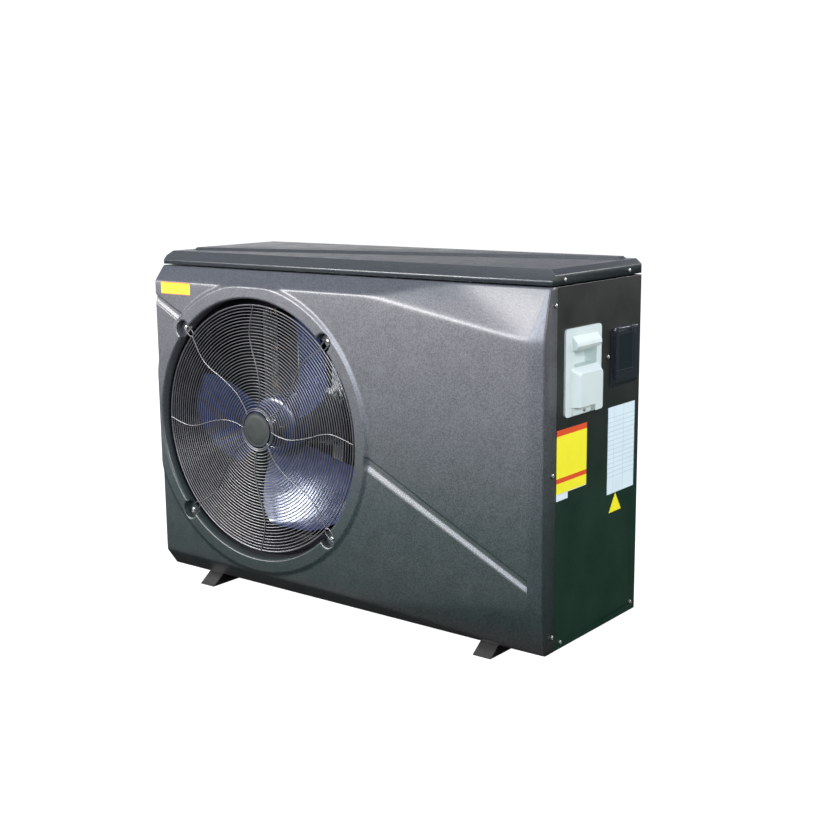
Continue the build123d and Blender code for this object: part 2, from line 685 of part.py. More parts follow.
# ---- Reversing valve, expansion valve and the pipes between them ----
valve_z = 420.0
valve_y = 205.0
with BuildPart() as four_way_valve:
    rod((680, valve_y, valve_z), (1, 0, 0), 17, 90)
    fillet(four_way_valve.edges().filter_by(GeomType.CIRCLE), radius=5)
    rod((725, valve_y, valve_z), (0, 0, 1), 6, 34)
    for x in (703, 725, 747):
        rod((x, valve_y, valve_z - 34), (0, 0, 1), 6, 34)
    rod((700, valve_y - 38, valve_z), (0, 1, 0), 12, 26)
four_way_valve.part.label = "four_way_valve"
export_step(four_way_valve.part, "parts/four_way_valve.step")

pipe_r = 6.0
with BuildPart() as discharge_pipe:
    with BuildLine() as discharge_line:
        FilletPolyline(at(compressor_x + 20, compressor_y, compressor_z[1]),
                       at(compressor_x + 20, compressor_y, 330),
                       at(790, compressor_y, 330), at(790, compressor_y, 486),
                       at(725, compressor_y, 486), at(725, compressor_y, valve_z + 34),
                       radius=14)
    with BuildSketch(Plane(origin=discharge_line.line @ 0, z_dir=discharge_line.line % 0)):
        Circle(pipe_r)
    sweep()
discharge_pipe.part.label = "discharge_pipe"
export_step(discharge_pipe.part, "parts/discharge_pipe.step")

with BuildPart() as suction_pipe:
    with BuildLine() as suction_line:
        FilletPolyline(at(725, valve_y, valve_z - 34), at(725, valve_y, 352),
                       at(accumulator_x, valve_y, 352), at(accumulator_x, accumulator_y, 352),
                       at(accumulator_x, accumulator_y, 230), radius=14)
    with BuildSketch(Plane(origin=suction_line.line @ 0, z_dir=suction_line.line % 0)):
        Circle(pipe_r)
    sweep()
suction_pipe.part.label = "suction_pipe"
export_step(suction_pipe.part, "parts/suction_pipe.step")

with BuildPart() as expansion_valve:
    rod((640, 270, 300), (0, 0, 1), 9, 46)
    rod((640, 270, 322), (0, 0, 1), 17, 22)
    rod((640, 270, 280), (0, 0, 1), 4, 22)
    rod((602.3, 270, 306), (1, 0, 0), 4, 34)
expansion_valve.part.label = "expansion_valve"
export_step(expansion_valve.part, "parts/expansion_valve.step")

# ---- Water heat exchanger and its two unions at the back ----
tank_x, tank_y, tank_r = port_x, 235.0, 70.0
tank_z = (8.0, 470.0)
port_r = 25.0
port_flange_r = 34.0
port_end = 372.0
bore_r = 25.15                # takes a 50 mm pipe
bore_length = 30.0
tail_end = case_depth + back_projection
with BuildPart() as exchanger_tank:
    rod((tank_x, tank_y, tank_z[0]), (0, 0, 1), tank_r, tank_z[1] - tank_z[0])
    fillet(exchanger_tank.edges().filter_by(GeomType.CIRCLE).sort_by(Axis.Z)[-1], radius=22)
    rod((tank_x, tank_y, tank_z[0]), (0, 0, 1), tank_r + 8, 12)
    rod((tank_x, tank_y, 380), (0, 0, 1), tank_r + 5, 16)
    for x, y in ((835, 205), (930, 205), (865, 292)):
        rod((x, y, pan_wall), (0, 0, 1), 8, 8)
    for z in port_z:
        rod((port_x, tank_y, z), (0, 1, 0), port_r, port_end - tank_y)
        rod((port_x, 364, z), (0, 1, 0), port_flange_r, port_end - 364)
    rod((tank_x, tank_y, 40), (0, 0, 1), tank_r - 9, 390, mode=Mode.SUBTRACT)
    for z in port_z:
        rod((port_x, tank_y, z), (0, 1, 0), port_r - 4, 200, mode=Mode.SUBTRACT)
exchanger_tank.part.label = "exchanger_tank"
export_step(exchanger_tank.part, "parts/exchanger_tank.step")

with BuildPart() as union_seals:
    for z in port_z:
        rod((port_x, port_end, z), (0, 1, 0), 28, 2)
        rod((port_x, port_end - 1, z), (0, 1, 0), port_r - 2, 4, mode=Mode.SUBTRACT)
union_seals.part.label = "union_seals"
export_step(union_seals.part, "parts/union_seals.step")

for tail_name, nut_name, z in (("inlet_tail", "inlet_union_nut", port_z[0]),
                               ("outlet_tail", "outlet_union_nut", port_z[1])):
    with BuildPart() as tail:
        rod((port_x, port_end + 2, z), (0, 1, 0), port_flange_r, 6)
        rod((port_x, port_end + 2, z), (0, 1, 0), 30.5, tail_end - port_end - 2)
        rod((port_x, port_end, z), (0, 1, 0), port_r - 4, 60, mode=Mode.SUBTRACT)
        rod((port_x, tail_end - bore_length, z), (0, 1, 0), bore_r, 60, mode=Mode.SUBTRACT)
    tail.part.label = tail_name
    export_step(tail.part, f"parts/{tail_name}.step")
    with BuildPart() as nut:
        with BuildSketch(facing_front(363.0)):
            with Locations((port_x, z)):
                Circle(41)
                with PolarLocations(41, 8):
                    Circle(4)
        extrude(amount=-30)
        fillet(nut.edges().group_by(Axis.Y)[-1], radius=1.5)
        rod((port_x, 360, z), (0, 1, 0), port_flange_r + 0.5, 21, mode=Mode.SUBTRACT)
        rod((port_x, 360, z), (0, 1, 0), 31.0, 60, mode=Mode.SUBTRACT)
    nut.part.label = nut_name
    export_step(nut.part, f"parts/{nut_name}.step")

# ---- Electrical box, held between the partition and the rear panel ----
box_x = (612.0, 962.0)
box_y = (90.0, 330.0)
box_z = (500.0, 640.0)
with BuildPart() as electrical_box:
    block(box_x, box_y, box_z)
    block((box_x[0] + sheet, box_x[1] - sheet), (box_y[0] + sheet, box_y[1] - sheet),
          (box_z[0] + sheet, box_z[1] + 1), mode=Mode.SUBTRACT)
    block((partition_x + sheet, box_x[0] + 2), (120, 180), (620, 622))
electrical_box.part.label = "electrical_box"
export_step(electrical_box.part, "parts/electrical_box.step")

with BuildPart() as electrical_box_cover:
    block((box_x[0] - 2, box_x[1] + 2), (box_y[0] - 2, box_y[1] + 2), (box_z[1], box_z[1] + sheet))
electrical_box_cover.part.label = "electrical_box_cover"
export_step(electrical_box_cover.part, "parts/electrical_box_cover.step")

board_z = box_z[0] + sheet + 8
with BuildPart() as control_board:
    block((640, 850), (120, 290), (board_z, board_z + 1.6))
    for x, y in ((646, 126), (844, 126), (646, 284), (844, 284)):
        rod((x, y, box_z[0] + sheet), (0, 0, 1), 3, 8)
    block((660, 700), (140, 180), (board_z + 1.6, board_z + 30))
    block((720, 745), (140, 200), (board_z + 1.6, board_z + 22))
    block((770, 830), (220, 270), (board_z + 1.6, board_z + 45))
    for x in (670, 700, 730):
        rod((x, 250, board_z + 1.6), (0, 0, 1), 11, 34)
control_board.part.label = "control_board"
export_step(control_board.part, "parts/control_board.step")

with BuildPart() as capacitor:
    rod((890, 280, box_z[0] + sheet), (0, 0, 1), 22, 90)
capacitor.part.label = "capacitor"
export_step(capacitor.part, "parts/capacitor.step")

with BuildPart() as terminal_block:
    block((870, 950), (120, 150), (box_z[0] + sheet, box_z[0] + 26))
    for step in range(5):
        block((876 + step * 15, 884 + step * 15), (119, 136), (box_z[0] + 14, box_z[0] + 27),
              mode=Mode.SUBTRACT)
terminal_block.part.label = "terminal_block"
export_step(terminal_block.part, "parts/terminal_block.step")

# ---- Grip plate: a plate with a hood over a finger recess ----
plate_y = (74.0, 202.0)
plate_z = (440.5, 602.5)
plate_thickness = 4.0
recess_depth = 24.0
with BuildPart() as grip_plate:
    with BuildSketch(facing_right(case_width)):
        with Locations((sum(plate_y) / 2, sum(plate_z) / 2)):
            RectangleRounded(plate_y[1] - plate_y[0], plate_z[1] - plate_z[0], 8)
    extrude(amount=plate_thickness)
    # The hood, a wedge that is thickest over the recess.
    with BuildSketch(facing_front(97)):
        Polygon((case_width + 3, 589), (case_width + 14, 576), (case_width + 15, 570),
                (case_width + 12, 564), (case_width + 3, 561), align=None)
    extrude(amount=-88)
    # The recess: a pocket with its own walls, through the side panel.
    block((case_width - recess_depth, case_width + 1), (grip_pocket_y[0] - 2, grip_pocket_y[1] + 2),
          (grip_pocket_z[0] - 2, grip_pocket_z[1] + 2))
    block((case_width - recess_depth + 2, case_width + 8), grip_pocket_y, grip_pocket_z,
          mode=Mode.SUBTRACT)
    block((case_width - 1, case_width + 6), (116, 170), (460, 514), mode=Mode.SUBTRACT)
    rod((980, 135, 449), (1, 0, 0), screw_hole_r, 30, mode=Mode.SUBTRACT)
grip_plate.part.label = "grip_plate"
export_step(grip_plate.part, "parts/grip_plate.step")

# ---- Wiring cover below the grip: a hollow cap held by one screw ----
cover_y = (92.0, 192.0)
cover_z = (443.0, 530.0)
cover_face_y = (106.0, 185.0)
cover_face_z = (445.0, 519.0)
cap_wall = 2.0
cap_face = case_width + side_projection


def side_rectangle(x, y_range, z_range, inset, corner):
    with BuildSketch(facing_right(x)) as outline:
        with Locations((sum(y_range) / 2, sum(z_range) / 2)):
            RectangleRounded(y_range[1] - y_range[0] - 2 * inset,
                             z_range[1] - z_range[0] - 2 * inset, corner)
    return outline.sketch.face()


with BuildPart() as wiring_cover:
    loft([side_rectangle(case_width + plate_thickness, cover_y, cover_z, 0, 6),
          side_rectangle(cap_face, cover_face_y, cover_face_z, 0, 6)])
    loft([side_rectangle(case_width + plate_thickness, cover_y, cover_z, cap_wall, 4),
          side_rectangle(cap_face - cap_wall, cover_face_y, cover_face_z, cap_wall, 4)],
         mode=Mode.SUBTRACT)
    # A wide notch at the bottom with the screw's own seat.
    block((case_width + plate_thickness, cap_face + 1), (90, 158), (440, 457),
          mode=Mode.SUBTRACT)
    block((case_width + plate_thickness, case_width + plate_thickness + 3), (96, 160),
          (443, 459))
    block((case_width + plate_thickness, case_width + plate_thickness + 6), (98, 160),
          (457, 459))
    block((case_width + plate_thickness, cap_face - 1), (109, 160), (457, 459))
    block((case_width + plate_thickness, cap_face - 1), (158, 160), (447, 459))
    rod((980, 135, 449), (1, 0, 0), screw_hole_r, 60, mode=Mode.SUBTRACT)
wiring_cover.part.label = "wiring_cover"
export_step(wiring_cover.part, "parts/wiring_cover.step")

with BuildPart() as wiring_cover_screw:
    rod((case_width + plate_thickness + 3, 135, 449), (1, 0, 0), head_r, screw_head)
    rod((case_width + plate_thickness + 3, 135, 449), (-1, 0, 0), screw_r, 15)
wiring_cover_screw.part.label = "wiring_cover_screw"
export_step(wiring_cover_screw.part, "parts/wiring_cover_screw.step")

# ---- Controller: a housing with a dark screen under a clear lid hinged along its top ----
base_y = (242.0, 343.0)
base_z = (473.5, 582.0)
housing_y = (250.0, 334.0)
housing_z = (488.0, 577.0)
housing_face = case_width + 8.5
screen_y = (257.0, 320.0)
screen_z = (501.0, 573.0)
hinge_x, hinge_z = case_width + 5.0, 585.0
pin_r = 1.2
knuckle_r = 2.8
housing_knuckles_y = (259, 313)
knuckle_length = 12
with BuildPart() as controller_housing:
    block((case_width, housing_face), housing_y, housing_z)
    fillet(controller_housing.edges().filter_by(Axis.X), radius=5)
    block((case_width, case_width + 1), base_y, base_z)
    block((housing_face - 3, housing_face + 1), (screen_y[0] - 0.2, screen_y[1] + 0.2),
          (screen_z[0] - 0.2, screen_z[1] + 0.2), mode=Mode.SUBTRACT)
    # Two hinge knuckles on top.
    for y in housing_knuckles_y:
        # The arms stay low, because the lid's top wall comes down behind the pin.
        block((case_width, hinge_x + knuckle_r), (y, y + knuckle_length),
              (housing_z[1] - 2, hinge_z - 2))
        rod((hinge_x, y, hinge_z), (0, 1, 0), knuckle_r, knuckle_length)
        rod((hinge_x, y - 1, hinge_z), (0, 1, 0), pin_r + running, knuckle_length + 2,
            mode=Mode.SUBTRACT)
controller_housing.part.label = "controller_housing"
export_step(controller_housing.part, "parts/controller_housing.step")

with BuildPart() as controller_screen:
    block((housing_face - 3, housing_face), screen_y, screen_z)
controller_screen.part.label = "controller_screen"
export_step(controller_screen.part, "parts/controller_screen.step")

# The lid narrows towards its front face on all four sides.
lid_y = (241.0, 344.0)
lid_z = (473.0, 592.0)
lid_face_y = (246.0, 338.0)
lid_face_z = (482.0, 583.0)
lid_back = case_width + 1.5
lid_face = case_width + 12.0
lid_wall = 1.6
with BuildPart() as controller_lid:
    loft([side_rectangle(lid_back, lid_y, lid_z, 0, 5),
          side_rectangle(lid_face, lid_face_y, lid_face_z, 0, 4)])
    loft([side_rectangle(lid_back, lid_y, lid_z, lid_wall, 3),
          side_rectangle(lid_face - lid_wall, lid_face_y, lid_face_z, lid_wall, 2)],
         mode=Mode.SUBTRACT)
    # The top wall turns with the lid, so it stops short of the wall behind it.
    block((lid_back - 1, hinge_x), lid_y, (hinge_z - 4, lid_z[1] + 1), mode=Mode.SUBTRACT)
    # Two knuckles beside the housing's own.
    for y in (housing_knuckles_y[0] - 13, housing_knuckles_y[1] + 13):
        rod((hinge_x, y, hinge_z), (0, 1, 0), knuckle_r, knuckle_length)
        block((hinge_x, hinge_x + 4), (y, y + knuckle_length), (hinge_z, hinge_z + 2.5))
    # Room round the housing's knuckles.
    for y in housing_knuckles_y:
        rod((hinge_x, y - 0.5, hinge_z), (0, 1, 0), knuckle_r + 0.5, knuckle_length + 1,
            mode=Mode.SUBTRACT)
    rod((hinge_x, lid_y[0] - 1, hinge_z), (0, 1, 0), pin_r + running, 110, mode=Mode.SUBTRACT)
controller_lid.part.label = "controller_lid"
export_step(controller_lid.part, "parts/controller_lid.step")

pin_y = (housing_knuckles_y[0] - 13, housing_knuckles_y[1] + 25)
with BuildPart() as lid_hinge_pin:
    rod((hinge_x, pin_y[0], hinge_z), (0, 1, 0), pin_r, pin_y[1] - pin_y[0])
lid_hinge_pin.part.label = "lid_hinge_pin"
export_step(lid_hinge_pin.part, "parts/lid_hinge_pin.step")

# ---- Labels: thin plates without lettering ----
label_thickness = 0.4
with BuildPart() as front_label:
    block((20, 110), (-label_thickness, 0), (622, 648))
front_label.part.label = "front_label"
export_step(front_label.part, "parts/front_label.step")

label_x = (case_width, case_width + label_thickness)
with BuildPart() as caution_label:
    block(label_x, (52, 159), (300, 420))
caution_label.part.label = "caution_label"
export_step(caution_label.part, "parts/caution_label.step")

with BuildPart() as inspection_sticker:
    block(label_x, (52, 92), (288, 299.5))
inspection_sticker.part.label = "inspection_sticker"
export_step(inspection_sticker.part, "parts/inspection_sticker.step")

with BuildPart() as data_label:
    block(label_x, (239, 344), (262, 434))
data_label.part.label = "data_label"
export_step(data_label.part, "parts/data_label.step")

with BuildPart() as triangle_label:
    with BuildSketch(facing_right(case_width)):
        Polygon((248, 224), (296, 224), (272, 261), align=None)
    extrude(amount=label_thickness)
triangle_label.part.label = "triangle_label"
export_step(triangle_label.part, "parts/triangle_label.step")

# ---- Screws in the casing ----
with BuildPart() as casing_screws:
    for face_x, outwards, places in (
            (case_width, (1, 0, 0), flange_screws + pan_screws + [extra_screw]),
            (0, (-1, 0, 0), flange_screws + pan_screws)):
        inwards = tuple(-value for value in outwards)
        for y, z in places:
            rod((face_x, y, z), outwards, head_r, screw_head)
            rod((face_x, y, z), inwards, screw_r, 9)
casing_screws.part.label = "casing_screws"
export_step(casing_screws.part, "parts/casing_screws.step")

with BuildPart() as cover_screws:
    for face_x, outwards in ((case_width, (1, 0, 0)), (0, (-1, 0, 0))):
        inwards = tuple(-value for value in outwards)
        for y, z in cover_screws_yz:
            rod((face_x, y, z), outwards, head_r, screw_head)
            rod((face_x, y, z), inwards, screw_r, 9)
cover_screws.part.label = "cover_screws"
export_step(cover_screws.part, "parts/cover_screws.step")
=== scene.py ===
"""The looks of a pool heat pump unit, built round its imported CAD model."""
import json
import bpy
import bmesh
import random
from math import cos, exp, floor, hypot, log, pi, radians, sin, sqrt
from mathutils import Matrix, Vector
from mathutils.geometry import delaunay_2d_cdt


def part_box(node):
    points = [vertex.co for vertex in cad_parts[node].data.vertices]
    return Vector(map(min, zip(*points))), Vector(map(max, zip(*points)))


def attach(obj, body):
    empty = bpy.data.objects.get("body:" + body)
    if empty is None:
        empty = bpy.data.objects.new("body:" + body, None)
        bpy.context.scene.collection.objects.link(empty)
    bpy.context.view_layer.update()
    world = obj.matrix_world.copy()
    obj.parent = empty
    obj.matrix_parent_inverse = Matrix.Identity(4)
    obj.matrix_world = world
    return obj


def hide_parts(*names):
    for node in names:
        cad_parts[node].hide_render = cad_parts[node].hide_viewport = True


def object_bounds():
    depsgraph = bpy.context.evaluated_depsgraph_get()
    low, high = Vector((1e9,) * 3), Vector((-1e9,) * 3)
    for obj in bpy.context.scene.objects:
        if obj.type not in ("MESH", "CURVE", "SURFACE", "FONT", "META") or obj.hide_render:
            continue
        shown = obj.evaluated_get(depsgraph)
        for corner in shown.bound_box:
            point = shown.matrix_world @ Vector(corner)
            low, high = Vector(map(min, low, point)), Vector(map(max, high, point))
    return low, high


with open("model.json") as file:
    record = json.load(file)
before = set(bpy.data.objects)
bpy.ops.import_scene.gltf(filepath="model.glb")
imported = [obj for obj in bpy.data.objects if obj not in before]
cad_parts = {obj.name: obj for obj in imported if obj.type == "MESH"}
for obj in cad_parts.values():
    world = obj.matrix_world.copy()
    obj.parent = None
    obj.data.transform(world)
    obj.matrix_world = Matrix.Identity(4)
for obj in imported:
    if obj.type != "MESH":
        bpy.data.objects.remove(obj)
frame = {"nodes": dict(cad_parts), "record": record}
cad_low, cad_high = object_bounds()
nodes = frame["nodes"]
scene = bpy.context.scene

# ---- Frame: millimetres from the casing's lower front left corner, y going back ----
MM = 0.001
COLLAR_PROUD = 4.0
panel_low, panel_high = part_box("front_panel")
ORIGIN = Vector((panel_low.x, panel_low.y + COLLAR_PROUD * MM, panel_low.z))
WIDTH = (panel_high.x - panel_low.x) / MM
DEPTH = (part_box("top_cover")[1].y - ORIGIN.y) / MM
PANEL_TOP = (panel_high.z - ORIGIN.z) / MM


def at(x, y, z):
    """A point in metres from one in the casing's millimetres."""
    return ORIGIN + Vector((x, y, z)) * MM


def smoothstep(low, high, value):
    share = min(1.0, max(0.0, (value - low) / (high - low)))
    return share * share * (3 - 2 * share)


# ---- Materials ----
def noise(tree, coords, size, detail=3.0, stretch=None):
    """A noise texture whose features are about size metres across."""
    texture = tree.nodes.new("ShaderNodeTexNoise")
    texture.inputs["Scale"].default_value = 1 / size
    texture.inputs["Detail"].default_value = detail
    source = coords
    if stretch:
        mapping = tree.nodes.new("ShaderNodeMapping")
        mapping.inputs["Scale"].default_value = stretch
        tree.links.new(coords, mapping.inputs["Vector"])
        source = mapping.outputs["Vector"]
    tree.links.new(source, texture.inputs["Vector"])
    return texture.outputs["Fac"]


def spread(tree, value, low, high, out_low, out_high):
    """Maps low..high to out_low..out_high."""
    node = tree.nodes.new("ShaderNodeMapRange")
    node.inputs["From Min"].default_value = low
    node.inputs["From Max"].default_value = high
    node.inputs["To Min"].default_value = out_low
    node.inputs["To Max"].default_value = out_high
    tree.links.new(value, node.inputs["Value"])
    return node.outputs["Result"]


def blend_colours(tree, factor, first, second):
    """Mixes two colours, each a tuple or a socket."""
    node = tree.nodes.new("ShaderNodeMix")
    node.data_type = "RGBA"
    sockets = [s for s in node.inputs if s.type == "RGBA"]
    for socket, colour in zip(sockets, (first, second)):
        if isinstance(colour, tuple):
            socket.default_value = (*colour, 1.0)
        else:
            tree.links.new(colour, socket)
    tree.links.new(factor, node.inputs[0])
    return [s for s in node.outputs if s.type == "RGBA"][0]


def shade(colour, factor):
    return tuple(channel * factor for channel in colour)


SPECKLE_SIZE = 0.0027
PEBBLE_TO_GRAIN = 3.2
DUST_COLOUR = (0.30, 0.29, 0.27)


def material(name, colour, rough=0.5, metal=0.0, coat=0.0, coat_rough=0.1, specular=0.5,
             grain=0.0012, grain_depth=0.00005, pebble=0.0, mottle=0.12, mottle_size=0.07,
             speckle=0.0, rough_swing=0.06, stretch=None, dust=0.0, alpha=1.0, glow=0.0,
             paint=None):
    """A surface with fine grain, uneven colour and gloss, and settled dust if wanted.

    grain, grain_depth, pebble and mottle_size are in metres.
    """
    made = bpy.data.materials.new(name)
    made.use_nodes = True
    tree = made.node_tree
    shader = tree.nodes["Principled BSDF"]
    shader.inputs["Metallic"].default_value = metal
    shader.inputs["Coat Weight"].default_value = coat
    shader.inputs["Coat Roughness"].default_value = coat_rough
    shader.inputs["Specular IOR Level"].default_value = specular
    shader.inputs["Alpha"].default_value = alpha
    shader.inputs["Emission Strength"].default_value = glow
    coords = tree.nodes.new("ShaderNodeTexCoord").outputs["Object"]
    patches = noise(tree, coords, mottle_size, 4.0, stretch)
    factor = spread(tree, patches, 0.3, 0.7, 0.0, 1.0)
    result = blend_colours(tree, factor, shade(colour, 1 - mottle), shade(colour, 1 + mottle))
    if speckle:
        dots = spread(tree, noise(tree, coords, SPECKLE_SIZE, 2.0), 0.42, 0.58, 0.0, 1.0)
        dark = blend_colours(tree, factor, shade(colour, 1 - mottle - speckle),
                             shade(colour, 1 + mottle - speckle))
        light = blend_colours(tree, factor, shade(colour, 1 - mottle + speckle),
                              shade(colour, 1 + mottle + speckle))
        result = blend_colours(tree, dots, dark, light)
    if paint:
        result = paint(tree, coords, result)
    if dust:
        normal = tree.nodes.new("ShaderNodeNewGeometry").outputs["Normal"]
        parts = tree.nodes.new("ShaderNodeSeparateXYZ")
        tree.links.new(normal, parts.inputs[0])
        upward = spread(tree, parts.outputs["Z"], 0.3, 1.0, 0.0, dust)
        result = blend_colours(tree, upward, result, DUST_COLOUR)
    tree.links.new(result, shader.inputs["Base Color"])
    smears = noise(tree, coords, mottle_size * 0.5, 5.0, stretch)
    tree.links.new(spread(tree, smears, 0.3, 0.7, rough - rough_swing, rough + rough_swing),
                   shader.inputs["Roughness"])
    fine = noise(tree, coords, grain, 2.0, stretch)
    bump = tree.nodes.new("ShaderNodeBump")
    bump.inputs["Distance"].default_value = grain_depth
    bump.inputs["Strength"].default_value = 1.0
    tree.links.new(fine, bump.inputs["Height"])
    if pebble:
        coarse = tree.nodes.new("ShaderNodeBump")
        coarse.inputs["Distance"].default_value = pebble
        tree.links.new(noise(tree, coords, grain * PEBBLE_TO_GRAIN, 3.0),
                       coarse.inputs["Height"])
        tree.links.new(coarse.outputs["Normal"], bump.inputs["Normal"])
    tree.links.new(bump.outputs["Normal"], shader.inputs["Normal"])
    return made


def bands(axis, edges, colours):
    """A paint that fills ranges of one axis, in metres, each with its own colour."""
    def paint(tree, coords, base):
        parts = tree.nodes.new("ShaderNodeSeparateXYZ")
        tree.links.new(coords, parts.inputs[0])
        for (low, high), colour in zip(edges, colours):
            above = tree.nodes.new("ShaderNodeMath")
            above.operation = "GREATER_THAN"
            above.inputs[1].default_value = low
            tree.links.new(parts.outputs[axis], above.inputs[0])
            below = tree.nodes.new("ShaderNodeMath")
            below.operation = "LESS_THAN"
            below.inputs[1].default_value = high
            tree.links.new(parts.outputs[axis], below.inputs[0])
            inside = tree.nodes.new("ShaderNodeMath")
            inside.operation = "MULTIPLY"
            tree.links.new(above.outputs[0], inside.inputs[0])
            tree.links.new(below.outputs[0], inside.inputs[1])
            base = blend_colours(tree, inside.outputs[0], base, colour)
        return base
    return paint


def z_band(low, high):
    return ORIGIN.z + low * MM, ORIGIN.z + high * MM


def y_band(low, high):
    return ORIGIN.y + low * MM, ORIGIN.y + high * MM


RULE_HALF = 0.5


def ruled(rows, columns, colour):
    """A paint of thin ruled lines, as on a blank form; rows are z and columns y, in mm."""
    def paint(tree, coords, base):
        across = [z_band(z - RULE_HALF, z + RULE_HALF) for z in rows]
        down = [y_band(y - RULE_HALF, y + RULE_HALF) for y in columns]
        base = bands("Z", across, [colour] * len(rows))(tree, coords, base)
        return bands("Y", down, [colour] * len(columns))(tree, coords, base)
    return paint


CHARCOAL = (0.060, 0.063, 0.070)
NEAR_BLACK = (0.016, 0.017, 0.017)


def height_tint(stops):
    """A paint that fades through colours with height over the casing's bottom, in mm."""
    def paint(tree, coords, base):
        parts = tree.nodes.new("ShaderNodeSeparateXYZ")
        tree.links.new(coords, parts.inputs[0])
        low, high = z_band(stops[0][0], stops[-1][0])
        share = spread(tree, parts.outputs["Z"], low, high, 0.0, 1.0)
        ramp = tree.nodes.new("ShaderNodeValToRGB")
        elements = ramp.color_ramp.elements
        while len(elements) > 1:
            elements.remove(elements[0])
        for index, (height_mm, colour) in enumerate(stops):
            position = (height_mm - stops[0][0]) / (stops[-1][0] - stops[0][0])
            element = elements[0] if index == 0 else elements.new(position)
            element.position = position
            element.color = (*colour, 1)
        tree.links.new(share, ramp.inputs["Fac"])
        mixed = tree.nodes.new("ShaderNodeMix")
        mixed.data_type = "RGBA"
        mixed.blend_type = "MULTIPLY"
        mixed.inputs[0].default_value = 1.0
        sockets = [socket for socket in mixed.inputs if socket.type == "RGBA"]
        tree.links.new(base, sockets[0])
        tree.links.new(ramp.outputs["Color"], sockets[1])
        return [socket for socket in mixed.outputs if socket.type == "RGBA"][0]
    return paint


# These tints stand for a lawn's and a sky's reflection in the coats. They are painted into
# the base colour by height, so they stay the same wherever the part is put.
lawn_tint = height_tint([(0, (0.30, 0.24, 0.22)), (60, (0.22, 0.34, 0.29)),
                         (230, (0.36, 0.52, 0.47)), (430, (0.98, 1.0, 1.0)),
                         (640, (1.18, 1.12, 1.16)), (660, (0.90, 0.95, 1.0)),
                         (702, (0.85, 0.92, 0.96))])
side_tint = height_tint([(0, (0.45, 1.50, 0.95)), (260, (0.55, 1.70, 1.10)),
                         (430, (0.85, 1.05, 0.90)), (700, (1.15, 1.0, 1.0))])


def screen_lines(tree, coords, base):
    """Thin pale lines round the screen's window."""
    line = (0.10, 0.10, 0.12)
    base = bands("Y", [y_band(260, 261), y_band(315.5, 316.5)], [line] * 2)(tree, coords, base)
    return bands("Z", [z_band(504, 505)], [line])(tree, coords, base)


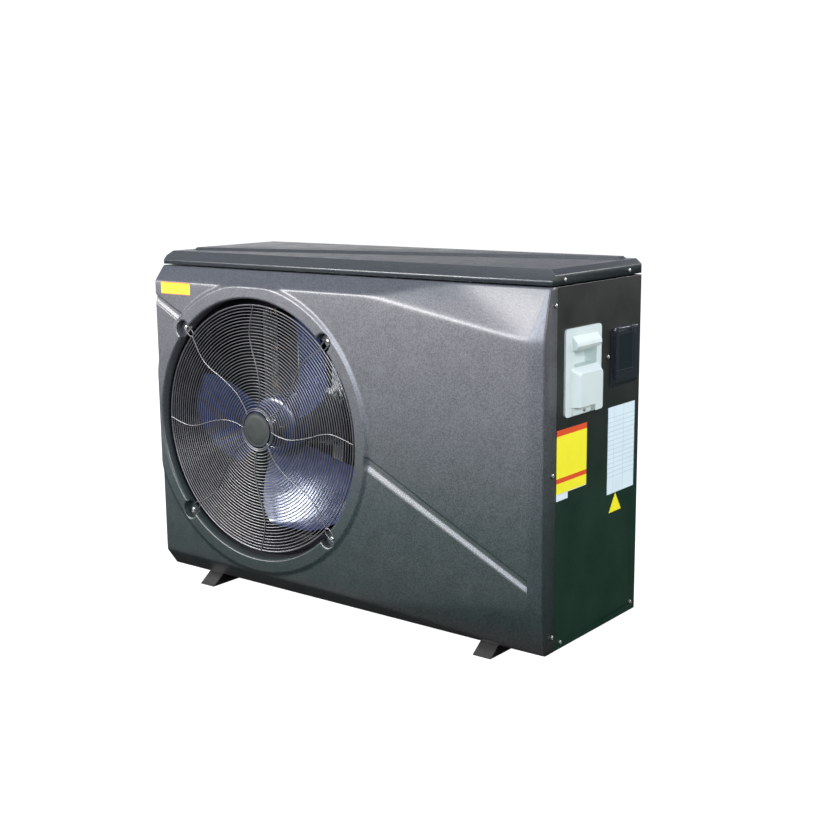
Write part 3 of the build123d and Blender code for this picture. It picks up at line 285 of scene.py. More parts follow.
looks = {
    "front_moulding": material("charcoal_moulding", CHARCOAL, rough=0.38, specular=0.8,
                               grain=0.0011, grain_depth=0.00007, pebble=0.00014, mottle=0.04,
                               speckle=0.30, paint=lawn_tint, rough_swing=0.02,
                               dust=0.05),
    "cover_sheet": material("charcoal_cover", (0.026, 0.031, 0.035), rough=0.32, specular=0.65,
                            grain=0.0010, grain_depth=0.00006, pebble=0.00012, mottle=0.05,
                            speckle=0.26, rough_swing=0.05, dust=0.10),
    "side_sheet": material("black_powder_coat", NEAR_BLACK, rough=0.34, grain=0.0009,
                           grain_depth=0.00004, pebble=0.00006, mottle=0.10, speckle=0.10,
                           mottle_size=0.16, dust=0.04, paint=side_tint),
    "foot_sheet": material("foot_paint", (0.009, 0.008, 0.008), rough=0.45, grain=0.0016,
                           grain_depth=0.00010, mottle=0.35, mottle_size=0.012, dust=0.08),
    "galvanised": material("galvanised_sheet", (0.50, 0.52, 0.53), rough=0.38, metal=1.0,
                           grain=0.004, grain_depth=0.00003, mottle=0.16, mottle_size=0.018),
    "wire_guard": material("coated_wire", (0.060, 0.060, 0.064), rough=0.36, coat=0.3,
                           coat_rough=0.25, specular=0.6, grain=0.0015, grain_depth=0.00004,
                           mottle=0.2, mottle_size=0.02),
    "badge": material("badge_plastic", (0.015, 0.020, 0.018), rough=0.48, grain=0.0009,
                      grain_depth=0.00006, mottle=0.1, mottle_size=0.015),
    # The blades are black gloss plastic; the navy in their base colour is a painted reflection of a
    # blue sky.
    "fan_plastic": material("fan_gloss_painted_sky_blue", (0.034, 0.050, 0.135), rough=0.22, coat=0.7,
                            coat_rough=0.16, specular=0.75, grain=0.004, grain_depth=0.00005,
                            mottle=0.15, mottle_size=0.05, rough_swing=0.07),
    # The bell is black plastic; its colour is made darker still as painted shade inside the fan's
    # throat.
    "bell_plastic": material("bell_moulding_painted_shade", (0.005, 0.005, 0.007), rough=0.55, specular=0.25,
                             grain=0.002, grain_depth=0.00005, mottle=0.15),
    "motor_paint": material("motor_enamel", (0.07, 0.07, 0.075), rough=0.4, coat=0.3,
                            grain=0.0014, grain_depth=0.00005, mottle=0.15, mottle_size=0.02),
    "shaft_steel": material("turned_steel", (0.52, 0.52, 0.51), rough=0.26, metal=1.0,
                            grain=0.0006, grain_depth=0.00002, mottle=0.12, mottle_size=0.006,
                            stretch=(1, 8, 1)),
    "screw_steel": material("zinc_plate", (0.58, 0.57, 0.54), rough=0.3, metal=1.0,
                            grain=0.0008, grain_depth=0.00003, mottle=0.22, mottle_size=0.003),
    "fin_aluminium": material("fin_sheet", (0.030, 0.050, 0.090), rough=0.42, metal=1.0,
                              grain=0.003, grain_depth=0.00004, mottle=0.12, mottle_size=0.02),
    "copper_tube": material("drawn_copper", (0.42, 0.19, 0.10), rough=0.36, metal=1.0,
                            grain=0.002, grain_depth=0.00003, mottle=0.3, mottle_size=0.025),
    "compressor_paint": material("compressor_enamel", (0.018, 0.018, 0.018), rough=0.3,
                                 coat=0.4, grain=0.0025, grain_depth=0.00006, mottle=0.2),
    "rubber": material("moulded_rubber", (0.022, 0.022, 0.022), rough=0.72, grain=0.0012,
                       grain_depth=0.00008, mottle=0.2, mottle_size=0.01),
    "water_plastic": material("pipe_plastic", (0.22, 0.235, 0.25), rough=0.42, grain=0.0014,
                              grain_depth=0.00005, mottle=0.08, mottle_size=0.03),
    "nut_plastic": material("nut_moulding", (0.022, 0.022, 0.025), rough=0.45, grain=0.0012,
                            grain_depth=0.00007, mottle=0.15, mottle_size=0.02),
    "board_green": material("board_laminate", (0.03, 0.15, 0.06), rough=0.35, coat=0.3,
                            grain=0.0015, grain_depth=0.00005, mottle=0.25, mottle_size=0.008),
    "capacitor_can": material("drawn_can", (0.6, 0.6, 0.6), rough=0.32, metal=1.0,
                              grain=0.001, grain_depth=0.00003, mottle=0.1, mottle_size=0.02),
    "pale_plastic": material("pale_moulding", (0.62, 0.71, 0.705), rough=0.42, grain=0.0012,
                             grain_depth=0.00004, mottle=0.03, mottle_size=0.05),
    "controller_black": material("controller_moulding", (0.012, 0.012, 0.014), rough=0.35,
                                 grain=0.0010, grain_depth=0.00005, mottle=0.12,
                                 mottle_size=0.03),
    "screen_glass": material("screen", (0.006, 0.006, 0.009), rough=0.12, coat=0.6,
                             coat_rough=0.05, grain=0.02, grain_depth=0.00003, mottle=0.25,
                             mottle_size=0.03, rough_swing=0.04, paint=screen_lines),
    "clear_plastic": material("clear_lid", (0.035, 0.045, 0.065), rough=0.12, alpha=0.22,
                              specular=0.8, coat=0.5, coat_rough=0.04, grain=0.03,
                              grain_depth=0.00005, mottle=0.06, mottle_size=0.04,
                              rough_swing=0.04),
    "yellow_label": material("yellow_vinyl", (0.90, 0.82, 0.02), rough=0.42, grain=0.003,
                             grain_depth=0.00003, mottle=0.03, mottle_size=0.03),
    "white_label": material("white_vinyl", (0.72, 0.80, 0.86), rough=0.42, grain=0.003,
                            grain_depth=0.00003, mottle=0.04, mottle_size=0.02),
    "blue_label": material("form_vinyl", (0.66, 0.80, 0.86), rough=0.4, grain=0.003,
                           grain_depth=0.00003, mottle=0.03, mottle_size=0.03),
}

for row in frame["record"]["subparts"]:
    node = nodes[row["node"]]
    for place in node.material_slots:
        place.material = looks[row["material_slot"]]

RED = (0.72, 0.08, 0.02)
caution_look = material("caution_vinyl", (0.90, 0.84, 0.03), rough=0.4, grain=0.003,
                        grain_depth=0.00003, mottle=0.03, mottle_size=0.03,
                        paint=bands("Z", [z_band(409, 421), z_band(321, 330),
                                          z_band(299, 301)],
                                    [RED, RED, (0.82, 0.86, 0.84)]))
data_look = material("data_vinyl", (0.70, 0.84, 0.90), rough=0.4, grain=0.003,
                     grain_depth=0.00003, mottle=0.03, mottle_size=0.03,
                     paint=ruled([296 + 9 * step for step in range(14)], [262, 300],
                                 (0.44, 0.58, 0.66)))
front_look = material("front_vinyl", (0.80, 0.68, 0.015), rough=0.42, grain=0.003,
                      grain_depth=0.00003, mottle=0.03, mottle_size=0.03,
                      paint=bands("Z", [z_band(645.5, 648.5), z_band(631, 632.5),
                                        z_band(622, 624)],
                                  [(0.80, 0.25, 0.03), (0.55, 0.35, 0.03), (0.80, 0.25, 0.03)]))
for name, look in (("caution_label", caution_look), ("data_label", data_look),
                   ("front_label", front_look)):
    for place in nodes[name].material_slots:
        place.material = look


# ---- Mesh helpers ----
def piece(name, vertices, faces, look, body="casing", replaces=(), slot=None, sharp=35,
          smooth=True):
    """A mesh from points in metres, riding on a body and standing for CAD nodes."""
    mesh = bpy.data.meshes.new(name)
    mesh.from_pydata([tuple(v) for v in vertices], [], faces)
    mesh.validate()
    mesh.polygons.foreach_set("use_smooth", [smooth] * len(mesh.polygons))
    if smooth:
        mesh.set_sharp_from_angle(angle=radians(sharp))
    mesh.update()
    made = bpy.data.objects.new(name, mesh)
    scene.collection.objects.link(made)
    mesh.materials.append(look if not isinstance(look, str) else looks[look])
    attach(made, body)
    if replaces:
        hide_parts(*replaces)
    return made


def from_bmesh(name, work, *args, **options):
    work.verts.ensure_lookup_table()
    vertices = [v.co.copy() for v in work.verts]
    index = {v: i for i, v in enumerate(work.verts)}
    faces = [[index[v] for v in face.verts] for face in work.faces]
    work.free()
    return piece(name, vertices, faces, *args, **options)


def tube(points, radius, sides=8, closed=False):
    """Vertices and faces of a round bar along points."""
    vertices, faces = [], []
    count = len(points)
    up = None
    for index, point in enumerate(points):
        before = points[(index - 1) % count] if closed or index else point
        after = points[(index + 1) % count] if closed or index < count - 1 else point
        along = (after - before).normalized()
        if up is None:
            up = along.orthogonal().normalized()
        up = (up - along * up.dot(along)).normalized()
        side = along.cross(up)
        for step in range(sides):
            turn = 2 * pi * step / sides
            vertices.append(point + (up * cos(turn) + side * sin(turn)) * radius)
    spans = count if closed else count - 1
    for index in range(spans):
        first, second = index * sides, ((index + 1) % count) * sides
        for step in range(sides):
            after = (step + 1) % sides
            faces.append((first + step, first + after, second + after, second + step))
    if not closed:
        faces.append(tuple(range(sides))[::-1])
        faces.append(tuple((count - 1) * sides + step for step in range(sides)))
    return vertices, faces


def join(parts):
    """Several (vertices, faces) pairs as one."""
    vertices, faces = [], []
    for more, shapes in parts:
        start = len(vertices)
        vertices += more
        faces += [tuple(start + i for i in shape) for shape in shapes]
    return vertices, faces


def lathe(centre, axis, profile, sides=48, closed=False):
    """Turns (radius, distance along the axis) points round an axis."""
    axis = Vector(axis).normalized()
    first = axis.orthogonal().normalized()
    second = axis.cross(first)
    vertices, faces = [], []
    for radius, along in profile:
        for step in range(sides):
            turn = 2 * pi * step / sides
            vertices.append(centre + axis * along
                            + (first * cos(turn) + second * sin(turn)) * radius)
    rows = len(profile)
    for row in range(rows if closed else rows - 1):
        following = (row + 1) % rows
        for step in range(sides):
            after = (step + 1) % sides
            faces.append((row * sides + step, row * sides + after,
                          following * sides + after, following * sides + step))
    if not closed:
        if profile[0][0] > 1e-7:
            faces.append(tuple(range(sides))[::-1])
        if profile[-1][0] > 1e-7:
            faces.append(tuple((rows - 1) * sides + step for step in range(sides)))
    return vertices, faces


# ---- Front panel: a moulded skin whose depth is a function of its place ----
FAN_X, FAN_Z = 287.5, 346.6
OPENING_R, POCKET_RING, POCKET_R, POCKET_DEPTH = 278.0, 285.0, 19.0, 12.5
COLLAR_FLAT_R, COLLAR_FOOT_R = 303.0, 315.0
GROOVE_DEPTH = 4.0
CREASE_SOFTNESS, RIDGE_SOFTNESS = 1.0, 1.2
LIP_R, EDGE_R = 5.0, 2.5
PANEL_DEPTH, RIM_DEPTHS, SKIN = 50.0, (18.0, 24.0), 2.2
# The folded facet at the top right: where it starts, and its corners as x, depth and z.
FACET_START = 560
A, E, B, C = (607, 0, 649), (794, 28, 682), (971, 0, 587), (1000, 28, 683)


def plane_depth(p, q, r):
    """The plane through three points, as depth from x and z."""
    p, q, r = Vector(p), Vector(q), Vector(r)
    normal = (q - p).cross(r - p)
    return lambda x, z: p.y - (normal.x * (x - p.x) + normal.z * (z - p.z)) / normal.y


facet_near = plane_depth(A, E, B)
facet_far = plane_depth(E, C, B)
plain_facets = [
    lambda x, z: 0.0,
    plane_depth((0, 0, 649), (900, 0, 649), (0, 28, 683)),
    plane_depth((971, 0, 587), (1000, 8, 587), (1000, 28, 683)),
    plane_depth((971, 0, 587), (971, 0, 89), (1000, 8, 89)),
    plane_depth((971, 0, 89), (1000, 8, 89), (1000, 16, 0)),
    plane_depth((590, 0, 28.9), (971, 0, 89), (1000, 16, 0)),
    plane_depth((0, 0, 38), (0, 27, 0), (1000, 16, 0)),
]


def soft_max(values, softness):
    top = max(values)
    return top + softness * log(sum(exp((value - top) / softness) for value in values))


def groove_at(x, z, upper, lower, profile):
    """How deep a diagonal groove is at a point; its edges are lines of (x, z) pairs."""
    if not upper[0][0] <= x <= upper[1][0]:
        return 0.0
    share = (x - upper[0][0]) / (upper[1][0] - upper[0][0])
    high = upper[0][1] + (upper[1][1] - upper[0][1]) * share
    low = lower[0][1] + (lower[1][1] - lower[0][1]) * share
    across = (high - z) / (high - low)
    if not 0 <= across <= 1:
        return 0.0
    for (start, first), (end, second) in zip(profile, profile[1:]):
        if across <= end:
            return first + (second - first) * smoothstep(0, 1, (across - start) / (end - start))
    return 0.0


RIGHT_GROOVE = ((560, 347.8), (971, 145.3)), ((560, 316.5), (971, 121.3))
LEFT_GROOVE = ((-1, 621.5), (120, 563.7)), ((-1, 601.5), (120, 535.5))
RIGHT_PROFILE = [(0, 0), (0.12, GROOVE_DEPTH), (0.5, GROOVE_DEPTH * 0.93), (0.97, 0.25), (1, 0)]
LEFT_PROFILE = [(0, 0), (0.15, GROOVE_DEPTH), (0.55, GROOVE_DEPTH * 0.95), (0.74, 2.2),
                (0.82, 2.1), (1, 0)]
pocket_centres = [(FAN_X + POCKET_RING * cos(radians(45 + 90 * step)),
                   FAN_Z + POCKET_RING * sin(radians(45 + 90 * step))) for step in range(4)]


def panel_depth(x, z):
    """Depth of the panel's outer skin at a point."""
    values = [facet(x, z) for facet in plain_facets]
    near, far = facet_near(x, z), facet_far(x, z)
    if x > FACET_START:
        values.append(-soft_max([-near, -far], RIDGE_SOFTNESS))
    depth = soft_max(values, CREASE_SOFTNESS) - CREASE_SOFTNESS * 0.2
    radius = hypot(x - FAN_X, z - FAN_Z)
    outside = smoothstep(COLLAR_FLAT_R, COLLAR_FLAT_R + 5.0, radius)
    depth += groove_at(x, z, *RIGHT_GROOVE, RIGHT_PROFILE) * outside
    depth += groove_at(x, z, *LEFT_GROOVE, LEFT_PROFILE) * outside
    depth -= COLLAR_PROUD * (1 - smoothstep(COLLAR_FLAT_R, COLLAR_FOOT_R, radius))
    lip = radius - OPENING_R
    if lip < LIP_R:
        depth += LIP_R - sqrt(max(0.0, LIP_R ** 2 - (LIP_R - lip) ** 2))
    for px, pz in pocket_centres:
        away = hypot(x - px, z - pz)
        if away < POCKET_R + 3:
            sunk = 1 - smoothstep(POCKET_R - 0.8, POCKET_R + 0.4, away)
            depth = depth * (1 - sunk) + POCKET_DEPTH * sunk
            depth += 1.2 * (1 - smoothstep(POCKET_R + 0.3, POCKET_R + 2.6, away)) * (1 - sunk)
    edge = min(x, WIDTH - x, z, PANEL_TOP - z)
    if edge < EDGE_R:
        depth += EDGE_R - sqrt(max(0.0, EDGE_R ** 2 - (EDGE_R - edge) ** 2))
    return max(depth, -COLLAR_PROUD)


kept_points, cells = [], {}


def add_point(x, z, apart=0.45):
    """Adds a point unless one is too close already."""
    if not (0 <= x <= WIDTH and 0 <= z <= PANEL_TOP):
        return None
    if hypot(x - FAN_X, z - FAN_Z) < OPENING_R - 1e-6:
        return None
    cell = (floor(x), floor(z))
    for dx in (-1, 0, 1):
        for dz in (-1, 0, 1):
            for index in cells.get((cell[0] + dx, cell[1] + dz), ()):
                other = kept_points[index]
                if hypot(other[0] - x, other[1] - z) < apart:
                    return None
    cells.setdefault(cell, []).append(len(kept_points))
    kept_points.append((x, z))
    return len(kept_points) - 1


# Outer edge and the opening first, since their edges are fixed.
border = []
STEP = 5.0
across, upwards = round(WIDTH / STEP), round(PANEL_TOP / STEP)
for i in range(across):
    border.append(add_point(WIDTH * i / across, 0))
for i in range(upwards):
    border.append(add_point(WIDTH, PANEL_TOP * i / upwards))
for i in range(across):
    border.append(add_point(WIDTH - WIDTH * i / across, PANEL_TOP))
for i in range(upwards):
    border.append(add_point(0, PANEL_TOP - PANEL_TOP * i / upwards))
RIM = 384
rim = [add_point(FAN_X + OPENING_R * cos(2 * pi * i / RIM),
                 FAN_Z + OPENING_R * sin(2 * pi * i / RIM)) for i in range(RIM)]
for px, pz in pocket_centres:
    for radius in (17.4, 18.2, 18.8, 19.4, 20.2, 21.6, 23.5):
        for i in range(64):
            add_point(px + radius * cos(pi * i / 32), pz + radius * sin(pi * i / 32))
    for radius in (4, 8, 12, 15):
        for i in range(16):
            add_point(px + radius * cos(pi * i / 8), pz + radius * sin(pi * i / 8))
for radius in (278.5, 279.2, 280.2, 281.6, 283.2, 288, 294, 299, 302, 303.2, 304.5, 306, 307.5,
               309, 310.5, 312, 313.5, 315, 317.5, 322):
    for i in range(RIM):
        turn = 2 * pi * (i + 0.5) / RIM
        add_point(FAN_X + radius * cos(turn), FAN_Z + radius * sin(turn), 0.6)
for inset in (0.35, 0.9, 1.6, 2.5, 4.0):
    for i in range(across * 2 + 1):
        x = WIDTH * i / (across * 2)
        add_point(x, inset)
        add_point(x, PANEL_TOP - inset)
    for i in range(upwards * 2 + 1):
        z = PANEL_TOP * i / (upwards * 2)
        add_point(inset, z)
        add_point(WIDTH - inset, z)


def add_line(start, end, offsets, spacing=5.0):
    """Rows of points beside a crease, in x and z."""
    dx, dz = end[0] - start[0], end[1] - start[1]
    length = hypot(dx, dz)
    for i in range(int(length / spacing) + 1):
        share = i * spacing / length
        x, z = start[0] + dx * share, start[1] + dz * share
        for offset in offsets:
            add_point(x - dz / length * offset, z + dx / length * offset)


FINE = (0, 0.8, -0.8, 1.8, -1.8, 3.2, -3.2, 5.5, -5.5, 9, -9)
for start, end in (((0, 649), (607, 649)), ((607, 649), (794, 682)), ((607, 649), (971, 587)),
                   ((971, 587), (1000, 683)), ((971, 587), (971, 89)), ((590, 28.9), (971, 89)),
                   ((0, 38), (590, 28.9)), ((971, 89), (1000, 0)), ((971, 587), (1000, 587)),
                   ((971, 89), (1000, 89)), ((590, 28.9), (1000, 0))):
    add_line(start, end, FINE)
for (upper, lower), profile in ((RIGHT_GROOVE, RIGHT_PROFILE), (LEFT_GROOVE, LEFT_PROFILE)):
    for across_share in [-0.08, -0.03, 0, 0.03, 0.06, 0.09, 0.12, 0.16, 0.25, 0.35, 0.45, 0.5, 0.56,
                         0.62, 0.68, 0.74, 0.78, 0.82, 0.88, 0.93, 0.97, 1.0, 1.03, 1.08]:
        ends = [(high[0], high[1] + (low[1] - high[1]) * across_share)
                for high, low in zip(upper, lower)]
        add_line(ends[0], ends[1], (0,), 4.0)
    for offset in (-0.8, -0.3, 0.3, 0.8):
        for share in range(33):
            x = upper[1][0] + offset
            z = lower[1][1] + (upper[1][1] - lower[1][1]) * share / 32
            add_point(x, z)
random.seed(7)
FILL = 14
for i in range(int(WIDTH / FILL)):
    for j in range(int(PANEL_TOP / FILL)):
        add_point(FILL / 2 + i * FILL + random.uniform(-1, 1),
                  FILL / 2 + j * FILL + random.uniform(-1, 1), 5.0)

loops = [(border[i], border[(i + 1) % len(border)]) for i in range(len(border))]
loops += [(rim[i], rim[(i + 1) % RIM]) for i in range(RIM)]
result = delaunay_2d_cdt([Vector(p) for p in kept_points], loops, [], 0, 1e-5)
flat_points, flat_faces = result[0], result[2]
skin_faces = []
for triangle in flat_faces:
    cx = sum(flat_points[i].x for i in triangle) / 3
    cz = sum(flat_points[i].y for i in triangle) / 3
    if hypot(cx - FAN_X, cz - FAN_Z) > OPENING_R * 0.99995:
        skin_faces.append(tuple(triangle))
skin = [at(p.x, panel_depth(p.x, p.y), p.y) for p in flat_points]
# The walls behind the skin's two edges.
place = {given: i for i, givens in enumerate(result[3]) for given in givens}


def wall(loop, depths):
    """Faces from a loop of skin points straight back."""
    ring = [place[i] for i in loop]
    previous = ring
    for depth in depths:
        start = len(skin)
        for index in ring:
            point = skin[index]
            skin.append(Vector((point.x, ORIGIN.y + depth * MM, point.z)))
        current = list(range(start, start + len(ring)))
        for i in range(len(ring)):
            j = (i + 1) % len(ring)
            skin_faces.append((previous[i], previous[j], current[j], current[i]))
        previous = current


wall(border, (PANEL_DEPTH,))
wall(rim, RIM_DEPTHS)
work = bmesh.new()
made = [work.verts.new(v) for v in skin]
for shape in skin_faces:
    try:
        work.faces.new([made[i] for i in shape])
    except ValueError:
        pass
for vert in [v for v in work.verts if not v.link_faces]:
    work.verts.remove(vert)
bmesh.ops.recalc_face_normals(work, faces=work.faces)
if sum(face.normal.y * face.calc_area() for face in work.faces) > 0:
    bmesh.ops.reverse_faces(work, faces=work.faces)
front = from_bmesh("front_panel_skin", work, "front_moulding", replaces=["front_panel"], sharp=48)
thick = front.modifiers.new("thickness", "SOLIDIFY")
thick.thickness = SKIN * MM
thick.offset = -1


def folded_sheet(name, faces, look, bevel, thickness, replaces):
    """A sheet from polygons given in casing millimetres, with its edges rounded."""
    work = bmesh.new()
    known = {}
    for shape in faces:
        corners = []
        for point in shape:
            key = tuple(round(value, 3) for value in point)
            if key not in known:
                known[key] = work.verts.new(at(*point))
            corners.append(known[key])
        work.faces.new(corners)
    bmesh.ops.recalc_face_normals(work, faces=work.faces)
    edges = [edge for edge in work.edges
             if edge.is_manifold and edge.calc_face_angle(0) > radians(12)]
    bmesh.ops.bevel(work, geom=edges, offset=bevel * MM, segments=3, profile=0.5,
                    affect="EDGES", clamp_overlap=True)
    made = from_bmesh(name, work, look, replaces=replaces, sharp=30)
    thick = made.modifiers.new("thickness", "SOLIDIFY")
    thick.thickness = thickness * MM
    thick.offset = -1


# ---- Top cover ----
LIP_LOW, LIP_HIGH, BEVEL_Z, FLAT_Z, RAISED = 684.0, 693.0, 702.0, 712.0, 717.0
IN = 12.0
plateau = [(30, 92), (962, 312), (974, 322), (974, 346), (30, 346)]
W, D = WIDTH, DEPTH
cover_faces = [
    [(0, 28, LIP_LOW), (850, 28, LIP_LOW), (850, 28, LIP_HIGH), (0, 28, LIP_HIGH)],
    [(850, 28, LIP_LOW), (W, 33, LIP_LOW), (W, 33, LIP_HIGH), (850, 28, LIP_HIGH)],
    [(0, 28, LIP_HIGH), (850, 28, LIP_HIGH), (W - IN, 46, FLAT_Z), (IN, 46, FLAT_Z),
     (0, 36.5, BEVEL_Z)],
    [(850, 28, LIP_HIGH), (W, 33, LIP_HIGH), (W, 40, BEVEL_Z), (W - IN, 46, FLAT_Z)],
    [(W, 33, LIP_LOW), (W, D, LIP_LOW), (W, D, BEVEL_Z), (W, 40, BEVEL_Z), (W, 33, LIP_HIGH)],
    [(W, 40, BEVEL_Z), (W, D, BEVEL_Z), (W - IN, D, FLAT_Z), (W - IN, 46, FLAT_Z)],
    [(0, 28, LIP_LOW), (0, 28, LIP_HIGH), (0, 36.5, BEVEL_Z), (0, D, BEVEL_Z), (0, D, LIP_LOW)],
    [(0, 36.5, BEVEL_Z), (IN, 46, FLAT_Z), (IN, D, FLAT_Z), (0, D, BEVEL_Z)],
    [(0, D, LIP_LOW), (0, D, BEVEL_Z), (IN, D, FLAT_Z), (W - IN, D, FLAT_Z), (W, D, BEVEL_Z),
     (W, D, LIP_LOW)],
    # The flat top, in pieces round the plateau.
    [(IN, 46, FLAT_Z), (W - IN, 46, FLAT_Z), (962, 312, FLAT_Z), (30, 92, FLAT_Z)],
    [(W - IN, 46, FLAT_Z), (W - IN, D, FLAT_Z), (974, 346, FLAT_Z), (974, 322, FLAT_Z),
     (962, 312, FLAT_Z)],
    [(W - IN, D, FLAT_Z), (IN, D, FLAT_Z), (30, 346, FLAT_Z), (974, 346, FLAT_Z)],
    [(IN, 46, FLAT_Z), (30, 92, FLAT_Z), (30, 346, FLAT_Z), (IN, D, FLAT_Z)],
]
raised = [(34, 96.5), (960.5, 315), (970, 323.5), (970, 342), (34, 342)]
for i in range(len(plateau)):
    j = (i + 1) % len(plateau)
    cover_faces.append([(*plateau[i], FLAT_Z), (*plateau[j], FLAT_Z), (*raised[j], RAISED),
                        (*raised[i], RAISED)])
cover_faces.append([(*p, RAISED) for p in raised])
folded_sheet("cover_sheet_metal", cover_faces, "cover_sheet", bevel=1.3, thickness=1.1,
             replaces=["top_cover"])


# ---- Fan guard: round wires ----
GUARD_Y, GUARD_R, RINGS, PITCH, WIRE_R = 11.3, 264.0, 34, 6.6, 1.15
GUARD_SCREW_R = 289.0
# A spoke's course: radius, and how far it stands to one side.
spoke_bends = [(40, -1), (62, -8), (90, -11), (120, -7), (150, 1), (178, 10), (205, 14),
               (235, 9), (GUARD_R, 0)]


def catmull(points, steps=8):
    """A smooth line through points."""
    padded = [points[0]] + list(points) + [points[-1]]
    line = []
    for a, b, c, d in zip(padded, padded[1:], padded[2:], padded[3:]):
        for step in range(steps):
            t = step / steps
            line.append(tuple(
                0.5 * (2 * b[k] + (c[k] - a[k]) * t
                       + (2 * a[k] - 5 * b[k] + 4 * c[k] - d[k]) * t * t
                       + (3 * b[k] - a[k] - 3 * c[k] + d[k]) * t ** 3) for k in range(len(b))))
    line.append(tuple(points[-1]))
    return line


wires = []
for ring in range(RINGS):
    radius = GUARD_R - ring * PITCH
    sides = max(64, int(radius * 0.75))
    points = [at(FAN_X + radius * cos(2 * pi * i / sides), GUARD_Y + 0.6,
                 FAN_Z + radius * sin(2 * pi * i / sides)) for i in range(sides)]
    wires.append(tube(points, (1.9 if ring == 0 else WIRE_R) * MM, 8, True))
for spoke in range(8):
    turn = radians(45 * spoke)
    points = [at(FAN_X + r * cos(turn) - s * sin(turn), GUARD_Y - 1.1,
                 FAN_Z + r * sin(turn) + s * cos(turn)) for r, s in catmull(spoke_bends)]
    wires.append(tube(points, 1.25 * MM, 8))
for radius in (41.5, 45.5):
    points = [at(FAN_X + radius * cos(2 * pi * i / 72), GUARD_Y - 1.2,
                 FAN_Z + radius * sin(2 * pi * i / 72)) for i in range(72)]
    wires.append(tube(points, 1.4 * MM, 8, True))
# A flat looped tab at each screw.
for quarter in range(4):
    turn = radians(45 + 90 * quarter)
    outline = [(262, 0), (268, 6), (278, 7), (287, 6.6), (293, 5), (296.5, 0), (293, -5),
               (287, -6.6), (278, -7), (268, -6)]
    line = catmull(outline + [outline[0]], 5)
    points = [at(FAN_X + r * cos(turn) - s * sin(turn), GUARD_Y - 0.2,
                 FAN_Z + r * sin(turn) + s * cos(turn)) for r, s in line[:-1]]
    wires.append(tube(points, 1.5 * MM, 8, True))
    count = 28
    plate = []
    for depth in (-0.8, 0.8):
        for radius in (2.4, 6.2):
            for i in range(count):
                a = 2 * pi * i / count
                r, s = GUARD_SCREW_R + radius * cos(a), radius * sin(a)
                plate.append(at(FAN_X + r * cos(turn) - s * sin(turn), GUARD_Y - 0.2 + depth,
                                FAN_Z + r * sin(turn) + s * cos(turn)))
    faces = []
    for i in range(count):
        j = (i + 1) % count
        faces += [(i, j, count + j, count + i),
                  (2 * count + i, 3 * count + i, 3 * count + j, 2 * count + j),
                  (count + i, count + j, 3 * count + j, 3 * count + i),
                  (i, 2 * count + i, 2 * count + j, j)]
    wires.append((plate, faces))
vertices, faces = join(wires)
piece("guard_wires", vertices, faces, "wire_guard", replaces=["fan_guard"])

badge_profile = [(0, -3.2), (12, -3.2), (24, -3.0), (31, -2.6), (34, -2.0), (35.2, -2.3),
                 (36.4, -2.2), (37, -1.4), (37, 0.4), (30, 0.6), (0, 0.6)]
vertices, faces = lathe(at(FAN_X, GUARD_Y - 1, FAN_Z), (0, 1, 0),
                        [(r * MM, y * MM) for r, y in badge_profile], 72)
piece("guard_centre_disc", vertices, faces, "badge", replaces=["guard_badge"])


# ---- Screws: pan heads with a cross recess ----
def screw(centre, outwards, radius=4.2, height=2.6, shank=10.0):
    axis = Vector(outwards).normalized()
    first = axis.orthogonal().normalized()
    second = axis.cross(first)
    rings, sides = 11, 32
    vertices, faces = [], []
    for ring in range(rings + 1):
        share = ring / rings
        for step in range(sides):
            turn = 2 * pi * step / sides
            u, v = share * radius * cos(turn), share * radius * sin(turn)
            top = height * (0.55 + 0.45 * sqrt(max(0.0, 1 - (share * 0.98) ** 2)))
            slot_w = 0.16 * radius
            if share < 0.62 and (abs(u) < slot_w or abs(v) < slot_w):
                top -= height * 0.5 * (1 - share * 0.8)
            vertices.append(centre + (first * u + second * v + axis * top) * MM)
    base = len(vertices)
    for radius_now, along in ((radius, height * 0.3), (radius * 0.97, 0.0),
                              (2.0, 0.0), (2.0, -shank)):
        for step in range(sides):
            turn = 2 * pi * step / sides
            vertices.append(centre + (first * radius_now * cos(turn)
                                      + second * radius_now * sin(turn) + axis * along) * MM)
    total = rings + 1 + 4
    for ring in range(total - 1):
        for step in range(sides):
            after = (step + 1) % sides
            faces.append((ring * sides + step, (ring + 1) * sides + step,
                          (ring + 1) * sides + after, ring * sides + after))
    faces.append(tuple((total - 1) * sides + step for step in range(sides)))
    return vertices, faces


def screw_set(name, node, places, shank=8.5):
    vertices, faces = join([screw(at(*centre), outwards, shank=shank)
                            for centre, outwards in places])
    piece(name, vertices, faces, "screw_steel", replaces=[node], sharp=28)


RIGHT, LEFTWARDS, FORWARDS = (1, 0, 0), (-1, 0, 0), (0, -1, 0)
flange = [(43.5, 648), (38, 339), (41, 30)]
pan = [(71, 12), (342, 17)]
places = [((WIDTH, y, z), RIGHT) for y, z in flange + pan + [(233, 533.5)]]
places += [((0, y, z), LEFTWARDS) for y, z in flange + pan]
screw_set("casing_screw_heads", "casing_screws", places)
screw_set("cover_screw_heads", "cover_screws",
          [((x, y, 692), side) for x, side in ((WIDTH, RIGHT), (0, LEFTWARDS)) for y in (73, 310)])
screw_set("guard_screw_heads", "guard_screws",
          [((FAN_X + GUARD_SCREW_R * cos(radians(45 + 90 * q)), GUARD_Y - 1.2,
             FAN_Z + GUARD_SCREW_R * sin(radians(45 + 90 * q))), FORWARDS) for q in range(4)])
screw_set("wiring_cover_screw_head", "wiring_cover_screw", [((WIDTH + 7, 135, 449), RIGHT)])

# ---- Fan: three wide swept blades on a ribbed hub ----
HUB_MIDDLE, HUB_R = 90.0, 64.0
# Radius, chord, pitch and sweep along a blade, in mm and degrees.
sections = [(56, 62, 40, 0), (85, 112, 36, 2), (110, 148, 33, 4), (145, 192, 30, 7),
            (175, 228, 28, 10), (210, 250, 26, 14), (232, 246, 25, 17), (246, 214, 24, 20)]


